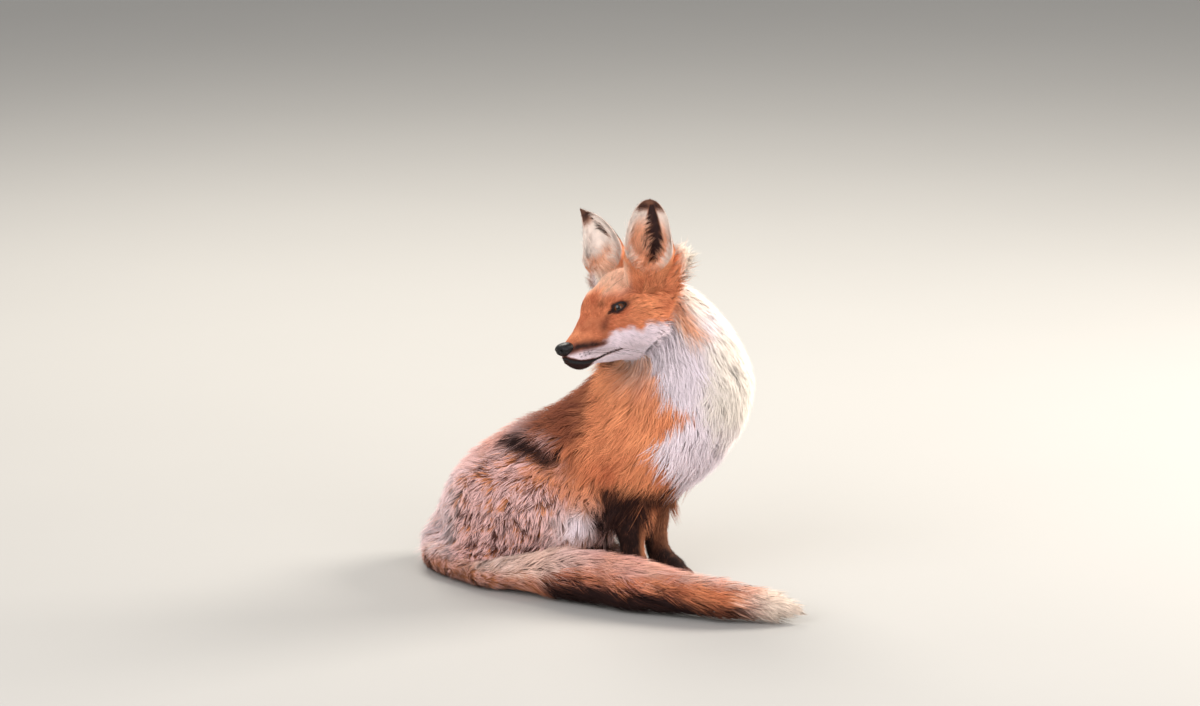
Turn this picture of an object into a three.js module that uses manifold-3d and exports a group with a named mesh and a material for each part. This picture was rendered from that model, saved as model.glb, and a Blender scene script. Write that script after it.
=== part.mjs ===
// A red fox sitting on the ground with its head turned back over its right shoulder, life size.
// Millimetres, +Z up, +X the way the chest faces, +Y the fox's left. The ground is z = 0.
//
// Every solid takes in the coat, out to its tips. Flesh is described by round cones: chains of balls
// joined by tapering lengths and blended where they meet. A capsule is bent along the middle of each
// body part and drawn outward onto that blended surface, and neighbours are then trimmed apart.
import * as THREE from "three";
import { mergeVertices } from "three/addons/utils/BufferGeometryUtils.js";
import Module from "manifold-3d";

const wasm = await Module();
wasm.setup();

// ---------------------------------------------------------------- driving dimensions

const GAP = 0.35; // between neighbouring solids
const FAR = 900; // longer than the whole animal, for cutting boxes

// Balls along the body, as x, y, z and radius.
const ball = (x, y, z, r) => new THREE.Vector4(x, y, z, r);

const SPINE = {
  seat: ball(-142, 0, 24, 42),
  rump: ball(-94, 0, 68, 60),
  loin: ball(-28, 0, 122, 64),
  ribs: ball(54, 0, 156, 72),
  chest: ball(145, 0, 220, 88),
  neckBase: ball(171, -2, 255, 76),
  neck: ball(159, -10, 298, 62),
  poll: ball(141, -27, 346, 51),
};
const BRISKET = ball(128, 0, 142, 50);
const SHOULDER = { top: ball(112, 46, 186, 44), elbow: ball(104, 34, 145, 42) };
const TORSO_WIDTH = 0.86; // half width over half height

const HAUNCH = {
  hip: ball(-82, 42, 82, 60),
  thigh: ball(-14, 52, 98, 51),
  knee: ball(50, 62, 82, 32),
  shank: ball(20, 66, 50, 28),
  hock: ball(-92, 66, 27, 33),
};
const HAUNCH_WIDTH = 0.74;
const HIND_FOOT = {
  heel: ball(-74, 74, 20, 19),
  sole: ball(-10, 78, 14, 16),
  toes: ball(32, 82, 12, 17),
};
const FORELEG = {
  elbow: ball(104, 31, 134, 22),
  forearm: ball(104, 33, 74, 21),
  wrist: ball(108, 31, 36, 15.5),
  pastern: ball(114, 31, 16, 15),
  toes: ball(134, 32, 12, 16),
};
const FORELEG_LEAD = 5; // how far the left forefoot stands ahead of the right one

const TAIL = {
  root: ball(-150, -20, 22, 17),
  bend: ball(-118, -80, 15, 14),
  start: ball(-64, -112, 16, 15),
  swell: ball(-14, -116, 26, 25),
  brush: ball(52, -122, 32, 34),
  full: ball(150, -138, 32, 34),
  narrow: ball(270, -142, 27, 27),
  tip: ball(352, -118, 17, 12),
};
const TAIL_TIP_FROM = 0.86; // where the white tip begins, as a share of the tail's length

// The head's own frame: origin at the nose tip, +X the way it looks, +Y its left, +Z its crown.
const HEAD_TURN = -117; // degrees about the vertical, from the way the chest faces
const HEAD_DOWN = 9;
const HEAD_TILT = 13; // its left side up
const NOSE_TIP = new THREE.Vector3(60, -164, 317);

const HEAD = {
  cranium: ball(-122, 0, 20, 43),
  forehead: ball(-90, 0, 15, 31),
  face: ball(-66, 0, 3, 23),
  muzzle: ball(-19, 0, -8, 12),
  jaw: ball(-76, 0, -17, 20),
  chin: ball(-24, 0, -20.5, 10),
  throat: ball(-100, 0, -12, 27),
  gullet: ball(-146, 0, -28, 44),
  nape: ball(-160, 0, 20, 46),
};
const BROW = ball(-80, 18, 33, 11);
const MANE = { low: ball(-150, 38, 14, 30), high: ball(-167, 53, 49, 31) }; // the loose fur behind each ear
const LIP = { back: ball(-70, 12, -8, 13), front: ball(-19, 5.5, -12, 8) };
const CHEEK = { front: ball(-98, 27, -4, 24), ruff: ball(-126, 36, -16, 29) };
const EYE = ball(-91.9, 23.6, 23.8, 10.5);
const SOCKET = ball(-88.2, 30.6, 25.4, 10.5); // clears the way out between the lids
const NOSE = { centre: ball(-11, 0, -4, 9), half: new THREE.Vector3(9.3, 10.3, 8.4) };
const EAR = {
  flatness: 0.55, // front to back over side to side
  wall: 0.8, // hollow over outside
  hollowForward: 10,
  hollowFloor: 16,
  hollowTop: 9, // kept whole under the tip
};
// Each ear's balls, and how many degrees its opening faces to the left of straight ahead.
const EARS = {
  left: { balls: [ball(-130, 37, 44, 33), ball(-138, 57, 94, 29), ball(-141, 68, 129, 11)], turned: 35 },
  right: { balls: [ball(-130, -37, 44, 32), ball(-140, -38, 86, 28), ball(-141, -58, 129, 10)], turned: 22 },
};

// ---------------------------------------------------------------- fields

// Signed distance to the cone with round ends that joins balls a and b.
function roundCone(a, b) {
  const axis = new THREE.Vector3(b.x - a.x, b.y - a.y, b.z - a.z);
  const l2 = axis.lengthSq();
  const taper = a.w - b.w;
  const a2 = l2 - taper * taper;
  const from = new THREE.Vector3();
  const cross = new THREE.Vector3();
  return (p) => {
    from.set(p.x - a.x, p.y - a.y, p.z - a.z);
    const along = from.dot(axis);
    const beyond = along - l2;
    const across2 = cross.copy(from).multiplyScalar(l2).addScaledVector(axis, -along).lengthSq();
    const k = Math.sign(taper) * taper * taper * across2;
    if (Math.sign(beyond) * a2 * beyond * beyond * l2 > k) {
      return Math.hypot(p.x - b.x, p.y - b.y, p.z - b.z) - b.w;
    }
    if (Math.sign(along) * a2 * along * along * l2 < k) return from.length() - a.w;
    return (Math.sqrt((across2 * a2) / l2) + along * taper) / l2 - a.w;
  };
}

// The round cones through a list of balls, one after another.
const chain = (...balls) => balls.slice(1).map((b, i) => roundCone(balls[i], b));

// One ball on its own.
const lump = (a) => (p) => Math.hypot(p.x - a.x, p.y - a.y, p.z - a.z) - a.w;

// Everything in a list run together, with a fillet of about the given size.
function blend(fields, fillet) {
  return (p) =>
    fields.reduce((low, field) => {
      const d = field(p);
      const near = Math.max(fillet - Math.abs(low - d), 0) / fillet;
      return Math.min(low, d) - (near * near * fillet) / 4;
    }, FAR);
}

// The same field squeezed sideways about the plane y = middle.
function squeezed(field, width, middle = 0) {
  const q = new THREE.Vector3();
  return (p) => field(q.set(p.x, middle + (p.y - middle) / width, p.z)) * width;
}

const mirrored = (a) => ball(a.x, -a.y, a.z, a.w);
const moved = (a, dx) => ball(a.x + dx, a.y, a.z, a.w);
const bothSides = (a) => [a, mirrored(a)];

// ---------------------------------------------------------------- surfaces and solids

const point = (a) => new THREE.Vector3(a.x, a.y, a.z);

// Goes out from a point inside the field until the field reaches the level, and returns how far.
function reach(field, origin, direction, level) {
  const p = new THREE.Vector3();
  const at = (s) => field(p.copy(origin).addScaledVector(direction, s)) - level;
  let inside = 0;
  let outside = 0;
  for (let f = at(0); f < 0 && outside < FAR; f = at(outside)) {
    inside = outside;
    outside += Math.max(-0.7 * f, 0.2);
  }
  for (let i = 0; i < 14; i++) {
    const middle = (inside + outside) / 2;
    if (at(middle) < 0) inside = middle;
    else outside = middle;
  }
  return outside;
}

// A capsule bent along the balls' centres and drawn onto the field's surface, as a solid.
function wrap(field, balls, { rings, sectors, caps = 4, side = new THREE.Vector3(0, 1, 0), level = 0 }) {
  const axis = new THREE.CatmullRomCurve3(balls.map(point), false, "centripetal");
  const geometry = new THREE.CapsuleGeometry(1, 1, caps, sectors, rings);
  const position = geometry.getAttribute("position");
  const direction = new THREE.Vector3();
  for (let i = 0; i < position.count; i++) {
    const height = position.getY(i) + 0.5;
    const share = THREE.MathUtils.clamp(height, 0, 1);
    const origin = axis.getPointAt(share);
    const tangent = axis.getTangentAt(share);
    const out = side.clone().addScaledVector(tangent, -side.dot(tangent)).normalize();
    const up = out.clone().cross(tangent);
    direction.set(0, 0, 0).addScaledVector(tangent, height - share);
    direction.addScaledVector(out, position.getX(i)).addScaledVector(up, position.getZ(i)).normalize();
    origin.addScaledVector(direction, reach(field, origin, direction, level));
    position.setXYZ(i, origin.x, origin.y, origin.z);
  }
  return solid(geometry);
}

// A closed three.js geometry as a manifold-3d solid.
function solid(geometry, matrix = new THREE.Matrix4()) {
  const bare = geometry.clone().applyMatrix4(matrix);
  bare.deleteAttribute("normal");
  bare.deleteAttribute("uv");
  const merged = mergeVertices(bare, 1e-3);
  return new wasm.Manifold(
    new wasm.Mesh({
      numProp: 3,
      vertProperties: new Float32Array(merged.getAttribute("position").array),
      triVerts: new Uint32Array(merged.index.array),
    }),
  );
}

// A box that fills everything on the positive side of a plane.
function beyond(origin, normal, shift = 0) {
  const turn = new THREE.Quaternion().setFromUnitVectors(new THREE.Vector3(0, 0, 1), normal.clone().normalize());
  const centre = origin.clone().addScaledVector(normal.clone().normalize(), FAR / 2 + shift);
  const matrix = new THREE.Matrix4().compose(centre, turn, new THREE.Vector3(1, 1, 1));
  return solid(new THREE.BoxGeometry(2 * FAR, 2 * FAR, FAR), matrix);
}

const GROUND = beyond(new THREE.Vector3(0, 0, 0), new THREE.Vector3(0, 0, 1));
const grounded = (s) => s.intersect(GROUND);

// ---------------------------------------------------------------- head

const headGroup = new THREE.Group();
headGroup.position.copy(NOSE_TIP);
headGroup.rotation.set(
  THREE.MathUtils.degToRad(HEAD_TILT),
  THREE.MathUtils.degToRad(HEAD_DOWN),
  THREE.MathUtils.degToRad(HEAD_TURN),
  "ZYX",
);
headGroup.updateMatrixWorld(true);
const inHead = (x, y, z) => new THREE.Vector3(x, y, z).applyMatrix4(headGroup.matrixWorld);
const toHead = headGroup.matrixWorld.clone().invert();

const headField = blend(
  [
    ...chain(HEAD.nape, HEAD.cranium, HEAD.forehead, HEAD.face, HEAD.muzzle),
    ...chain(HEAD.gullet, HEAD.throat, HEAD.jaw, HEAD.chin),
    ...bothSides(BROW).map(lump),
    roundCone(MANE.low, MANE.high),
    roundCone(mirrored(MANE.low), mirrored(MANE.high)),
    roundCone(LIP.back, LIP.front),
    roundCone(mirrored(LIP.back), mirrored(LIP.front)),
    roundCone(CHEEK.front, CHEEK.ruff),
    roundCone(mirrored(CHEEK.front), mirrored(CHEEK.ruff)),
  ],
  10,
);

function makeHead(level = 0) {
  const axis = [
    ball(-182, 0, 12, 0),
    ball(-128, 0, 6, 0),
    ball(-84, 0, 4, 0),
    ball(-46, 0, -6, 0),
    ball(-16, 0, -10, 0),
  ];
  return wrap(headField, axis, { rings: 22, sectors: 22, caps: 5, level });
}

// The pinna: a flattened cone with a scoop taken from its front.
function makeEar({ balls, turned }) {
  const centre = point(balls[1]);
  const facing = new THREE.Vector3(1, 0, 0).applyAxisAngle(
    new THREE.Vector3(0, 0, 1),
    THREE.MathUtils.degToRad(turned),
  );
  const q = new THREE.Vector3();
  // Distances along the way the ear faces count for more, which flattens it.
  const flattened = (field) => (p) => {
    q.copy(p).sub(centre);
    const ahead = q.dot(facing);
    q.copy(p).addScaledVector(facing, ahead * (1 / EAR.flatness - 1));
    return field(q) * EAR.flatness;
  };
  const outside = flattened(blend(chain(...balls), 6));
  const options = { rings: 6, sectors: 12, caps: 3 };
  const shell = wrap(outside, balls, options);
  const scoopBalls = balls.map((b, i) => {
    const forward = EAR.hollowForward * (i === 2 ? 0.5 : 1);
    const rise = i === 0 ? EAR.hollowFloor : i === 2 ? -EAR.hollowTop : 0;
    return ball(b.x + facing.x * forward, b.y + facing.y * forward, b.z + rise, b.w * EAR.wall);
  });
  const scoop = wrap(flattened(blend(chain(...scoopBalls), 6)), scoopBalls, options);
  return shell.subtract(scoop);
}

const eyeSolid = (sign, grow = 0, { x, y, z, w } = EYE) =>
  solid(new THREE.SphereGeometry(w + grow, 12, 8), new THREE.Matrix4().makeTranslation(x, y * sign, z));

const noseSolid = (grow = 0) =>
  solid(
    new THREE.SphereGeometry(1, 14, 8),
    new THREE.Matrix4().compose(
      point(NOSE.centre),
      new THREE.Quaternion(),
      NOSE.half.clone().addScalar(grow),
    ),
  );

// ---------------------------------------------------------------- body

const torsoField = squeezed(
  blend(
    [
      ...chain(...Object.values(SPINE)),
      roundCone(SPINE.chest, BRISKET),
      roundCone(SHOULDER.top, SHOULDER.elbow),
      roundCone(mirrored(SHOULDER.top), mirrored(SHOULDER.elbow)),
    ],
    24,
  ),
  TORSO_WIDTH,
);

function makeTrunk(level = 0) {
  const { seat, rump, loin, ribs, chest } = SPINE;
  const end = ball(152, 0, 246, 0);
  return wrap(torsoField, [seat, rump, loin, ribs, chest, end], { rings: 20, sectors: 22, caps: 6, level });
}

function makeNeck() {
  const axis = [ball(152, -2, 236, 0), ball(150, -6, 290, 0), ball(136, -26, 340, 0)];
  return wrap(torsoField, axis, { rings: 6, sectors: 22, caps: 6 });
}

function makeHaunch(sign, level = 0) {
  const side = (a) => (sign > 0 ? a : mirrored(a));
  const { hip, thigh, knee, shank, hock } = HAUNCH;
  const balls = [hip, thigh, knee].map(side);
  const folded = [knee, shank, hock].map(side);
  const field = squeezed(blend([...chain(...balls), ...chain(...folded)], 20), HAUNCH_WIDTH, side(thigh).y);
  return wrap(field, balls, { rings: 9, sectors: 16, level });
}

function makeHindFoot(sign, level = 0) {
  const balls = Object.values(HIND_FOOT).map((a) => (sign > 0 ? a : mirrored(a)));
  return wrap(blend(chain(...balls), 8), balls, { rings: 6, sectors: 10, caps: 3, level });
}

function makeForeleg(sign) {
  const lead = sign > 0 ? FORELEG_LEAD : 0;
  const balls = Object.values(FORELEG).map((a) => moved(sign > 0 ? a : mirrored(a), lead));
  return wrap(blend(chain(...balls), 8), balls, { rings: 12, sectors: 12, caps: 3 });
}

const tailField = blend(chain(...Object.values(TAIL)), 14);
const makeTail = (level = 0) =>
  wrap(tailField, Object.values(TAIL), { rings: 20, sectors: 12, level, side: new THREE.Vector3(0, 0, 1) });

// ---------------------------------------------------------------- trimming and parting

// The planes that part neck from trunk and head from neck.
const collar = { at: new THREE.Vector3(150, 0, 262), normal: new THREE.Vector3(0.32, 0, 0.95) };
const nape = { at: inHead(-136, 0, -6), normal: inHead(1, 0, 0.75).sub(inHead(0, 0, 0)) };

const material = (color, roughness, metalness = 0) => new THREE.MeshStandardMaterial({ color, roughness, metalness });
const RED = material(0xb5602c, 0.9);
const GRIZZLED = material(0x9c7a66, 0.9);
const WHITE = material(0xe9e2da, 0.9);
const BLACK = material(0x2b211d, 0.9);
const EYE_DARK = material(0x4a2a12, 0.1);
const NOSE_BLACK = material(0x161314, 0.4);

const fox = new THREE.Group();
fox.add(headGroup);

// Adds a solid to a group as one named mesh.
function add(name, body, look, group = fox) {
  const { numProp, vertProperties, triVerts } = body.getMesh();
  const xyz = new Float32Array((vertProperties.length / numProp) * 3);
  for (let i = 0; i < xyz.length / 3; i++) xyz.set(vertProperties.subarray(i * numProp, i * numProp + 3), i * 3);
  const geometry = new THREE.BufferGeometry();
  geometry.setAttribute("position", new THREE.BufferAttribute(xyz, 3));
  geometry.setIndex(new THREE.BufferAttribute(triVerts, 1));
  geometry.computeVertexNormals();
  const mesh = new THREE.Mesh(geometry, look);
  mesh.name = name;
  group.add(mesh);
}

// The pieces a boolean left, largest first.
const largest = (s) => s.decompose().sort((a, b) => b.volume() - a.volume())[0];

const tail = grounded(makeTail());
const tailRoom = makeTail(GAP);
const trunkRoom = makeTrunk(GAP);

const hind = [1, -1].map((sign) => ({
  sign,
  body: makeHaunch(sign).add(makeHindFoot(sign)),
  room: makeHaunch(sign, GAP).add(makeHindFoot(sign, GAP)),
}));

let trunk = makeTrunk().intersect(beyond(collar.at, collar.normal.clone().negate(), GAP / 2));
let brush = tail.subtract(trunkRoom);
for (const { sign, body, room } of hind) {
  trunk = trunk.subtract(room);
  brush = brush.subtract(room);
  add(sign > 0 ? "hindleg_left" : "hindleg_right", largest(grounded(body)), GRIZZLED);
}
add("trunk", largest(grounded(trunk)), RED);

for (const { sign, room } of hind) {
  const leg = largest(grounded(makeForeleg(sign)).subtract(trunkRoom).subtract(room).subtract(tailRoom));
  add(sign > 0 ? "foreleg_left" : "foreleg_right", leg, BLACK);
}

const tailAxis = new THREE.CatmullRomCurve3(Object.values(TAIL).map(point), false, "centripetal");
const cut = [tailAxis.getPointAt(TAIL_TIP_FROM), tailAxis.getTangentAt(TAIL_TIP_FROM)];
add("tail", largest(brush.subtract(beyond(...cut, -GAP / 2))), RED);
add("tail_tip", largest(brush.intersect(beyond(...cut, GAP / 2))), WHITE);

const neck = makeNeck()
  .intersect(beyond(collar.at, collar.normal, GAP / 2))
  .intersect(beyond(nape.at, nape.normal.clone().negate(), GAP / 2));
add("neck", largest(neck), RED);

let head = makeHead().intersect(beyond(nape.at.clone().applyMatrix4(toHead), new THREE.Vector3(1, 0, 0.75), GAP / 2));
head = head.subtract(noseSolid(GAP));
for (const sign of [1, -1]) head = head.subtract(eyeSolid(sign, GAP)).subtract(eyeSolid(sign, 0, SOCKET));
const headRoom = makeHead(GAP);
add("head", largest(head), RED, headGroup);
add("nose", noseSolid(), NOSE_BLACK, headGroup);
for (const sign of [1, -1]) {
  const side = sign > 0 ? "left" : "right";
  add("eye_" + side, eyeSolid(sign), EYE_DARK, headGroup);
  add("ear_" + side, largest(makeEar(EARS[side]).subtract(headRoom)), BLACK, headGroup);
}

// The bottom of the box round it all is centred on the origin.
const centre = new THREE.Box3().setFromObject(fox, true).getCenter(new THREE.Vector3());
fox.position.set(-centre.x, -centre.y, 0);

export default fox;
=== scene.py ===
"""The looks of a sitting red fox: one skin, its coat in tufts, eyes, nose, lips, whiskers and claws.

It is laid out as an add-on and run as a script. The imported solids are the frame; every solid takes in
the coat out to its tips, so the skin lies inside them and the tufts reach back out to them.
Sizes are millimetres unless a name says otherwise, and Blender's own are metres.
"""

import math
from contextlib import contextmanager
from functools import partial

import bmesh
import bpy
import numpy as np
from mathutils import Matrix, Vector
from mathutils.bvhtree import BVHTree
from mathutils.kdtree import KDTree


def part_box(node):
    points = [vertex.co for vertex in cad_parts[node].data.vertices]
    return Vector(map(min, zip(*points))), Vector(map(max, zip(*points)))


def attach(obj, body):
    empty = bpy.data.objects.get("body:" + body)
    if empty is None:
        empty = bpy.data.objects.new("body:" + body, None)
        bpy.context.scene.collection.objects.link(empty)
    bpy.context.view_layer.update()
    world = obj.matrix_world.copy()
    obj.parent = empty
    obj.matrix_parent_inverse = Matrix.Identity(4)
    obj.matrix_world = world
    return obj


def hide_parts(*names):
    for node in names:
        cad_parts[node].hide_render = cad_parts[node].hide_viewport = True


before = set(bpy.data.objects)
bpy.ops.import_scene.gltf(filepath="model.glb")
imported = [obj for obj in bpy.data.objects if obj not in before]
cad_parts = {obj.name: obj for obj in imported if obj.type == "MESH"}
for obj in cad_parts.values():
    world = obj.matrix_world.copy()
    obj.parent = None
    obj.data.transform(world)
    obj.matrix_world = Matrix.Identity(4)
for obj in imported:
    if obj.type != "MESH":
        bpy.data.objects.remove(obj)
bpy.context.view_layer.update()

bl_info = {
    "name": "Sitting red fox",
    "version": (1, 0, 0),
    "blender": (4, 5, 0),
    "location": "View3D > Sidebar > Fox",
    "description": "Builds a life-size sitting red fox around its packed solids",
    "category": "Object",
}

MM = 0.001
BODY = "root"
REGIONS = ("head", "neck", "trunk", "hind", "fore", "tail", "ear")
# The solids that the skin takes the place of, and the region each belongs to.
FLESH = {
    "head": "head",
    "neck": "neck",
    "trunk": "trunk",
    "hindleg_left": "hind",
    "hindleg_right": "hind",
    "foreleg_left": "fore",
    "foreleg_right": "fore",
    "tail": "tail",
    "tail_tip": "tail",
}
# The marks each piece stores. Dark carries painted shade as well as black markings, and pale and warm carry
# painted light as well as white and orange hair.
MARKS = ("pale", "dark", "grizzle", "saddle", "warm")

# ------------------------------------------------------------------ places
# The plan's origin is under the middle of the body. The head has its own frame: origin at the nose
# tip, x the way it looks, y its left, z its crown.

HEAD_TURN, HEAD_DOWN, HEAD_TILT = math.radians(-117), math.radians(9), math.radians(13)
NOSE_TIP_IN_PLAN = np.array([60.0, -164.0, 317.0])
NOSE_MIDDLE = np.array([-11.0, 0.0, -4.0])
EYE_MIDDLE = np.array([-91.9, 23.6, 23.8])
EYE_RADIUS = 10.2


def turned(axis, angle):
    """The matrix of a turn about x, y or z."""
    c, s = math.cos(angle), math.sin(angle)
    rows = {
        "x": [[1, 0, 0], [0, c, -s], [0, s, c]],
        "y": [[c, 0, s], [0, 1, 0], [-s, 0, c]],
        "z": [[c, -s, 0], [s, c, 0], [0, 0, 1]],
    }
    return np.array(rows[axis], float)


HEAD_AXES = turned("z", HEAD_TURN) @ turned("y", HEAD_DOWN) @ turned("x", HEAD_TILT)
NOSE_TIP = np.mean(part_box("nose"), axis=0) - HEAD_AXES @ NOSE_MIDDLE * MM


def from_head(points):
    return NOSE_TIP + np.asarray(points, float) @ HEAD_AXES.T * MM


def to_head(points):
    return (np.asarray(points) - NOSE_TIP) @ HEAD_AXES / MM


def from_plan(points):
    return NOSE_TIP + (np.asarray(points, float) - NOSE_TIP_IN_PLAN) * MM


def to_plan(points):
    return (np.asarray(points) - NOSE_TIP) / MM + NOSE_TIP_IN_PLAN


# ------------------------------------------------------------------ small sums


def unit(vectors):
    return vectors / np.maximum(np.linalg.norm(vectors, axis=-1, keepdims=True), 1e-12)


def step(value, low, high):
    """0 below low, 1 above high, smooth between; low may be the larger."""
    t = np.clip((value - low) / (high - low), 0, 1)
    return t * t * (3 - 2 * t)


def near(points, middle, reach):
    """1 at a place, fading to nothing at about twice the reach. The reach may differ by axis."""
    offset = (points - np.asarray(middle, float)) / np.asarray(reach, float)
    return np.exp(-(offset**2).sum(-1))


def spots(points, places):
    """The sum of several places' nearness; each is a place, its reach and its strength."""
    return sum(strength * near(points, place, reach) for place, reach, strength in places)


def gap_to_line(points, line):
    """Each point's distance from a line through a few places."""
    best = np.full(len(points), 1e9)
    line = np.asarray(line, float)
    for a, b in zip(line[:-1], line[1:]):
        along = np.clip((points - a) @ (b - a) / ((b - a) @ (b - a)), 0, 1)
        best = np.minimum(best, np.linalg.norm(points - a - along[:, None] * (b - a), axis=1))
    return best


def near_line(points, line, reach):
    """1 on a line, fading off it."""
    return np.exp(-((gap_to_line(points, line) / reach) ** 2))


def mirrored(points):
    """Points with both sides laid on the left one."""
    return points * (1.0, 0.0, 1.0) + np.abs(points) * (0.0, 1.0, 0.0)


def on_side(place, sign):
    """A place or way on the left, or its mirror on the right where the sign is -1."""
    return np.asarray(place, float) * (1.0, sign, 1.0)


def ring_faces(rows, columns):
    """Quads between neighbouring rings of points, one after another."""
    faces = []
    for r in range(rows - 1):
        for c in range(columns):
            a, b = r * columns + c, r * columns + (c + 1) % columns
            faces.append((a, b, b + columns, a + columns))
    return faces


def capped_faces(rows, columns):
    """The same, with a flat face over the first ring and the last."""
    last = range((rows - 1) * columns, rows * columns)
    return [*ring_faces(rows, columns), tuple(range(columns))[::-1], tuple(last)]


def ripple(points, size, seed=0.0):
    """A smooth wandering value from about -1 to 1 with waves of the given size."""
    q = points / size * 2 * math.pi
    x, y, z = q[:, 0] + seed, q[:, 1] + 2.1 * seed, q[:, 2] + 3.7 * seed
    bent = (x + 1.3 * np.sin(0.7 * y), y + 1.1 * np.sin(0.8 * z), z + 1.2 * np.sin(0.9 * x))
    return sum(np.sin(wave) for wave in bent) / 3


# ------------------------------------------------------------------ mesh helpers


def linked(name, data):
    """A new object in the scene."""
    obj = bpy.data.objects.new(name, data)
    bpy.context.scene.collection.objects.link(obj)
    return obj


def new_object(name, points, faces, smooth=True):
    mesh = bpy.data.meshes.new(name)
    mesh.from_pydata([tuple(p) for p in points], [], [tuple(int(i) for i in f) for f in faces])
    mesh.update()
    if smooth:
        smooth_faces(mesh)
    return linked(name, mesh)


def smooth_faces(mesh):
    mesh.polygons.foreach_set("use_smooth", np.ones(len(mesh.polygons), bool))


@contextmanager
def opened(obj):
    """The object's mesh as a bmesh, written back at the end."""
    mesh = bmesh.new()
    mesh.from_mesh(obj.data)
    yield mesh
    mesh.to_mesh(obj.data)
    mesh.free()


def read(items, what, width=1, kind=np.float32):
    """What a mesh's items hold, as one array with a row for each."""
    out = np.empty(len(items) * width, kind)
    items.foreach_get(what, out)
    return out.reshape(-1, width) if width > 1 else out


def points_of(mesh):
    return read(mesh.vertices, "co", 3).astype(float)


def set_points(mesh, points):
    mesh.vertices.foreach_set("co", points.astype(np.float32).ravel())
    mesh.update()


def normals_of(mesh):
    return read(mesh.vertex_normals, "vector", 3).astype(float)


def edges_of(mesh):
    return read(mesh.edges, "vertices", 2, np.int32)


def triangles_of(mesh):
    mesh.calc_loop_triangles()
    return read(mesh.loop_triangles, "vertices", 3, np.int32)


def put_values(mesh, name, values):
    values = np.asarray(values, np.float32)
    attribute = mesh.attributes.get(name) or mesh.attributes.new(name, "FLOAT", "POINT")
    attribute.data.foreach_set("value", values)


def get_values(mesh, name):
    return read(mesh.attributes[name].data, "value").astype(float)


def spread(values, edges, rounds, hold=None):
    """Draws each vertex's value half way to its neighbours' mean, again and again.
    Where hold is given it keeps a vertex's value from moving, wholly so at 1."""
    flat = values.ndim == 1
    values = values[:, None] if flat else values
    n = len(values)
    count = np.maximum(np.bincount(edges.ravel(), minlength=n), 1)
    a, b = edges[:, 0], edges[:, 1]
    share = 0.5 if hold is None else 0.5 * (1 - hold)[:, None]
    for _ in range(rounds):
        total = np.stack(
            [np.bincount(a, v[b], minlength=n) + np.bincount(b, v[a], minlength=n) for v in values.T], 1
        )
        values = values + share * (total / count[:, None] - values)
    return values[:, 0] if flat else values


def merged_copy(node, grow):
    """A CAD node's surface as a bmesh, its loose triangles merged and grown a little."""
    mesh = bmesh.new()
    mesh.from_mesh(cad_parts[node].data)
    bmesh.ops.remove_doubles(mesh, verts=mesh.verts, dist=1e-5)
    mesh.normal_update()
    for v in mesh.verts:
        v.co += v.normal * grow
    return mesh


def remeshed(obj, voxel):
    """The object's mesh as one even closed surface; the object is used up."""
    modifier = obj.modifiers.new("even", "REMESH")
    modifier.mode = "VOXEL"
    modifier.voxel_size = voxel
    modifier.use_smooth_shade = True
    return applied(obj)


def applied(obj):
    """A new plain mesh object from this one's modifiers; the object is used up."""
    name = obj.name
    obj.name = name + ".before"
    mesh = bpy.data.meshes.new_from_object(obj.evaluated_get(bpy.context.evaluated_depsgraph_get()))
    bpy.data.objects.remove(obj)
    mesh.name = name
    return linked(name, mesh)


def finished(obj, slot, *nodes):
    """Hands a finished piece to the frame."""
    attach(obj, BODY)
    if nodes:
        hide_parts(*nodes)


# ------------------------------------------------------------------ what a user may change


def depth(name, where, metres):
    return bpy.props.FloatProperty(
        name=name, description="Coat depth on " + where, default=metres, unit="LENGTH"
    )


def colour(name, what, rgb):
    return bpy.props.FloatVectorProperty(
        name=name, description=what, default=rgb, size=3, subtype="COLOR", min=0, max=1
    )


def angle(name, what, degrees):
    return bpy.props.FloatProperty(
        name=name, description=what, default=math.radians(degrees), subtype="ANGLE"
    )


class FoxCoat(bpy.types.PropertyGroup):
    """Lengths and make of the coat."""

    fineness: bpy.props.FloatProperty(
        name="Fineness",
        description="How many tufts the coat has, over the usual number",
        default=1.0,
        min=0.3,
        max=1.3,
    )
    neck_depth: depth("Ruff depth", "neck and chest", 0.026)
    trunk_depth: depth("Body depth", "the trunk", 0.016)
    haunch_depth: depth("Haunch depth", "the haunches", 0.015)
    tail_depth: depth("Brush depth", "the tail", 0.018)
    leg_depth: depth("Leg depth", "the forelegs and feet", 0.0035)
    face_depth: depth("Face depth", "the muzzle", 0.0015)
    seed: bpy.props.IntProperty(
        name="Seed", description="Changes every random choice in the coat", default=7
    )


class FoxColours(bpy.types.PropertyGroup):
    """Colours of the coat and of the bare parts."""

    rust: colour("Rust", "Deep red-orange of the face and shoulders", (0.56, 0.135, 0.062))
    # Orange also carries painted light: the lit top of the head and the shoulders, and rim light on the
    # legs' front edges.
    orange: colour("Orange", "Brighter orange where the coat is thin or pale", (0.97, 0.38, 0.18))
    brown: colour("Brown", "Browner saddle along the back", (0.20, 0.062, 0.036))
    # Cream and shell are one white coat, painted lit and shaded: cream is its warm look in light, shell its
    # cool lilac look in shade.
    cream: colour("Cream", "Warm white of the mane and the tail's tip", (1.0, 0.90, 0.78))
    shell: colour("Shell", "Cool white of the bib and the cheeks", (0.98, 0.85, 0.94))
    frost: colour("Frost", "Pale locks of the grizzled haunch", (0.98, 0.61, 0.58))
    umber: colour("Umber", "Dark locks of the grizzled haunch", (0.085, 0.034, 0.028))
    # Black also paints shade: under the belly, down in the ears' hollows, low on the tail and among the
    # throat's white locks.
    black: colour("Black", "Stockings, ear backs and face marks", (0.030, 0.014, 0.013))
    leather: colour("Leather", "Nose, lips and eye rims", (0.007, 0.006, 0.007))
    iris: colour("Iris", "Lit part of the iris", (0.12, 0.036, 0.011))


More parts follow.
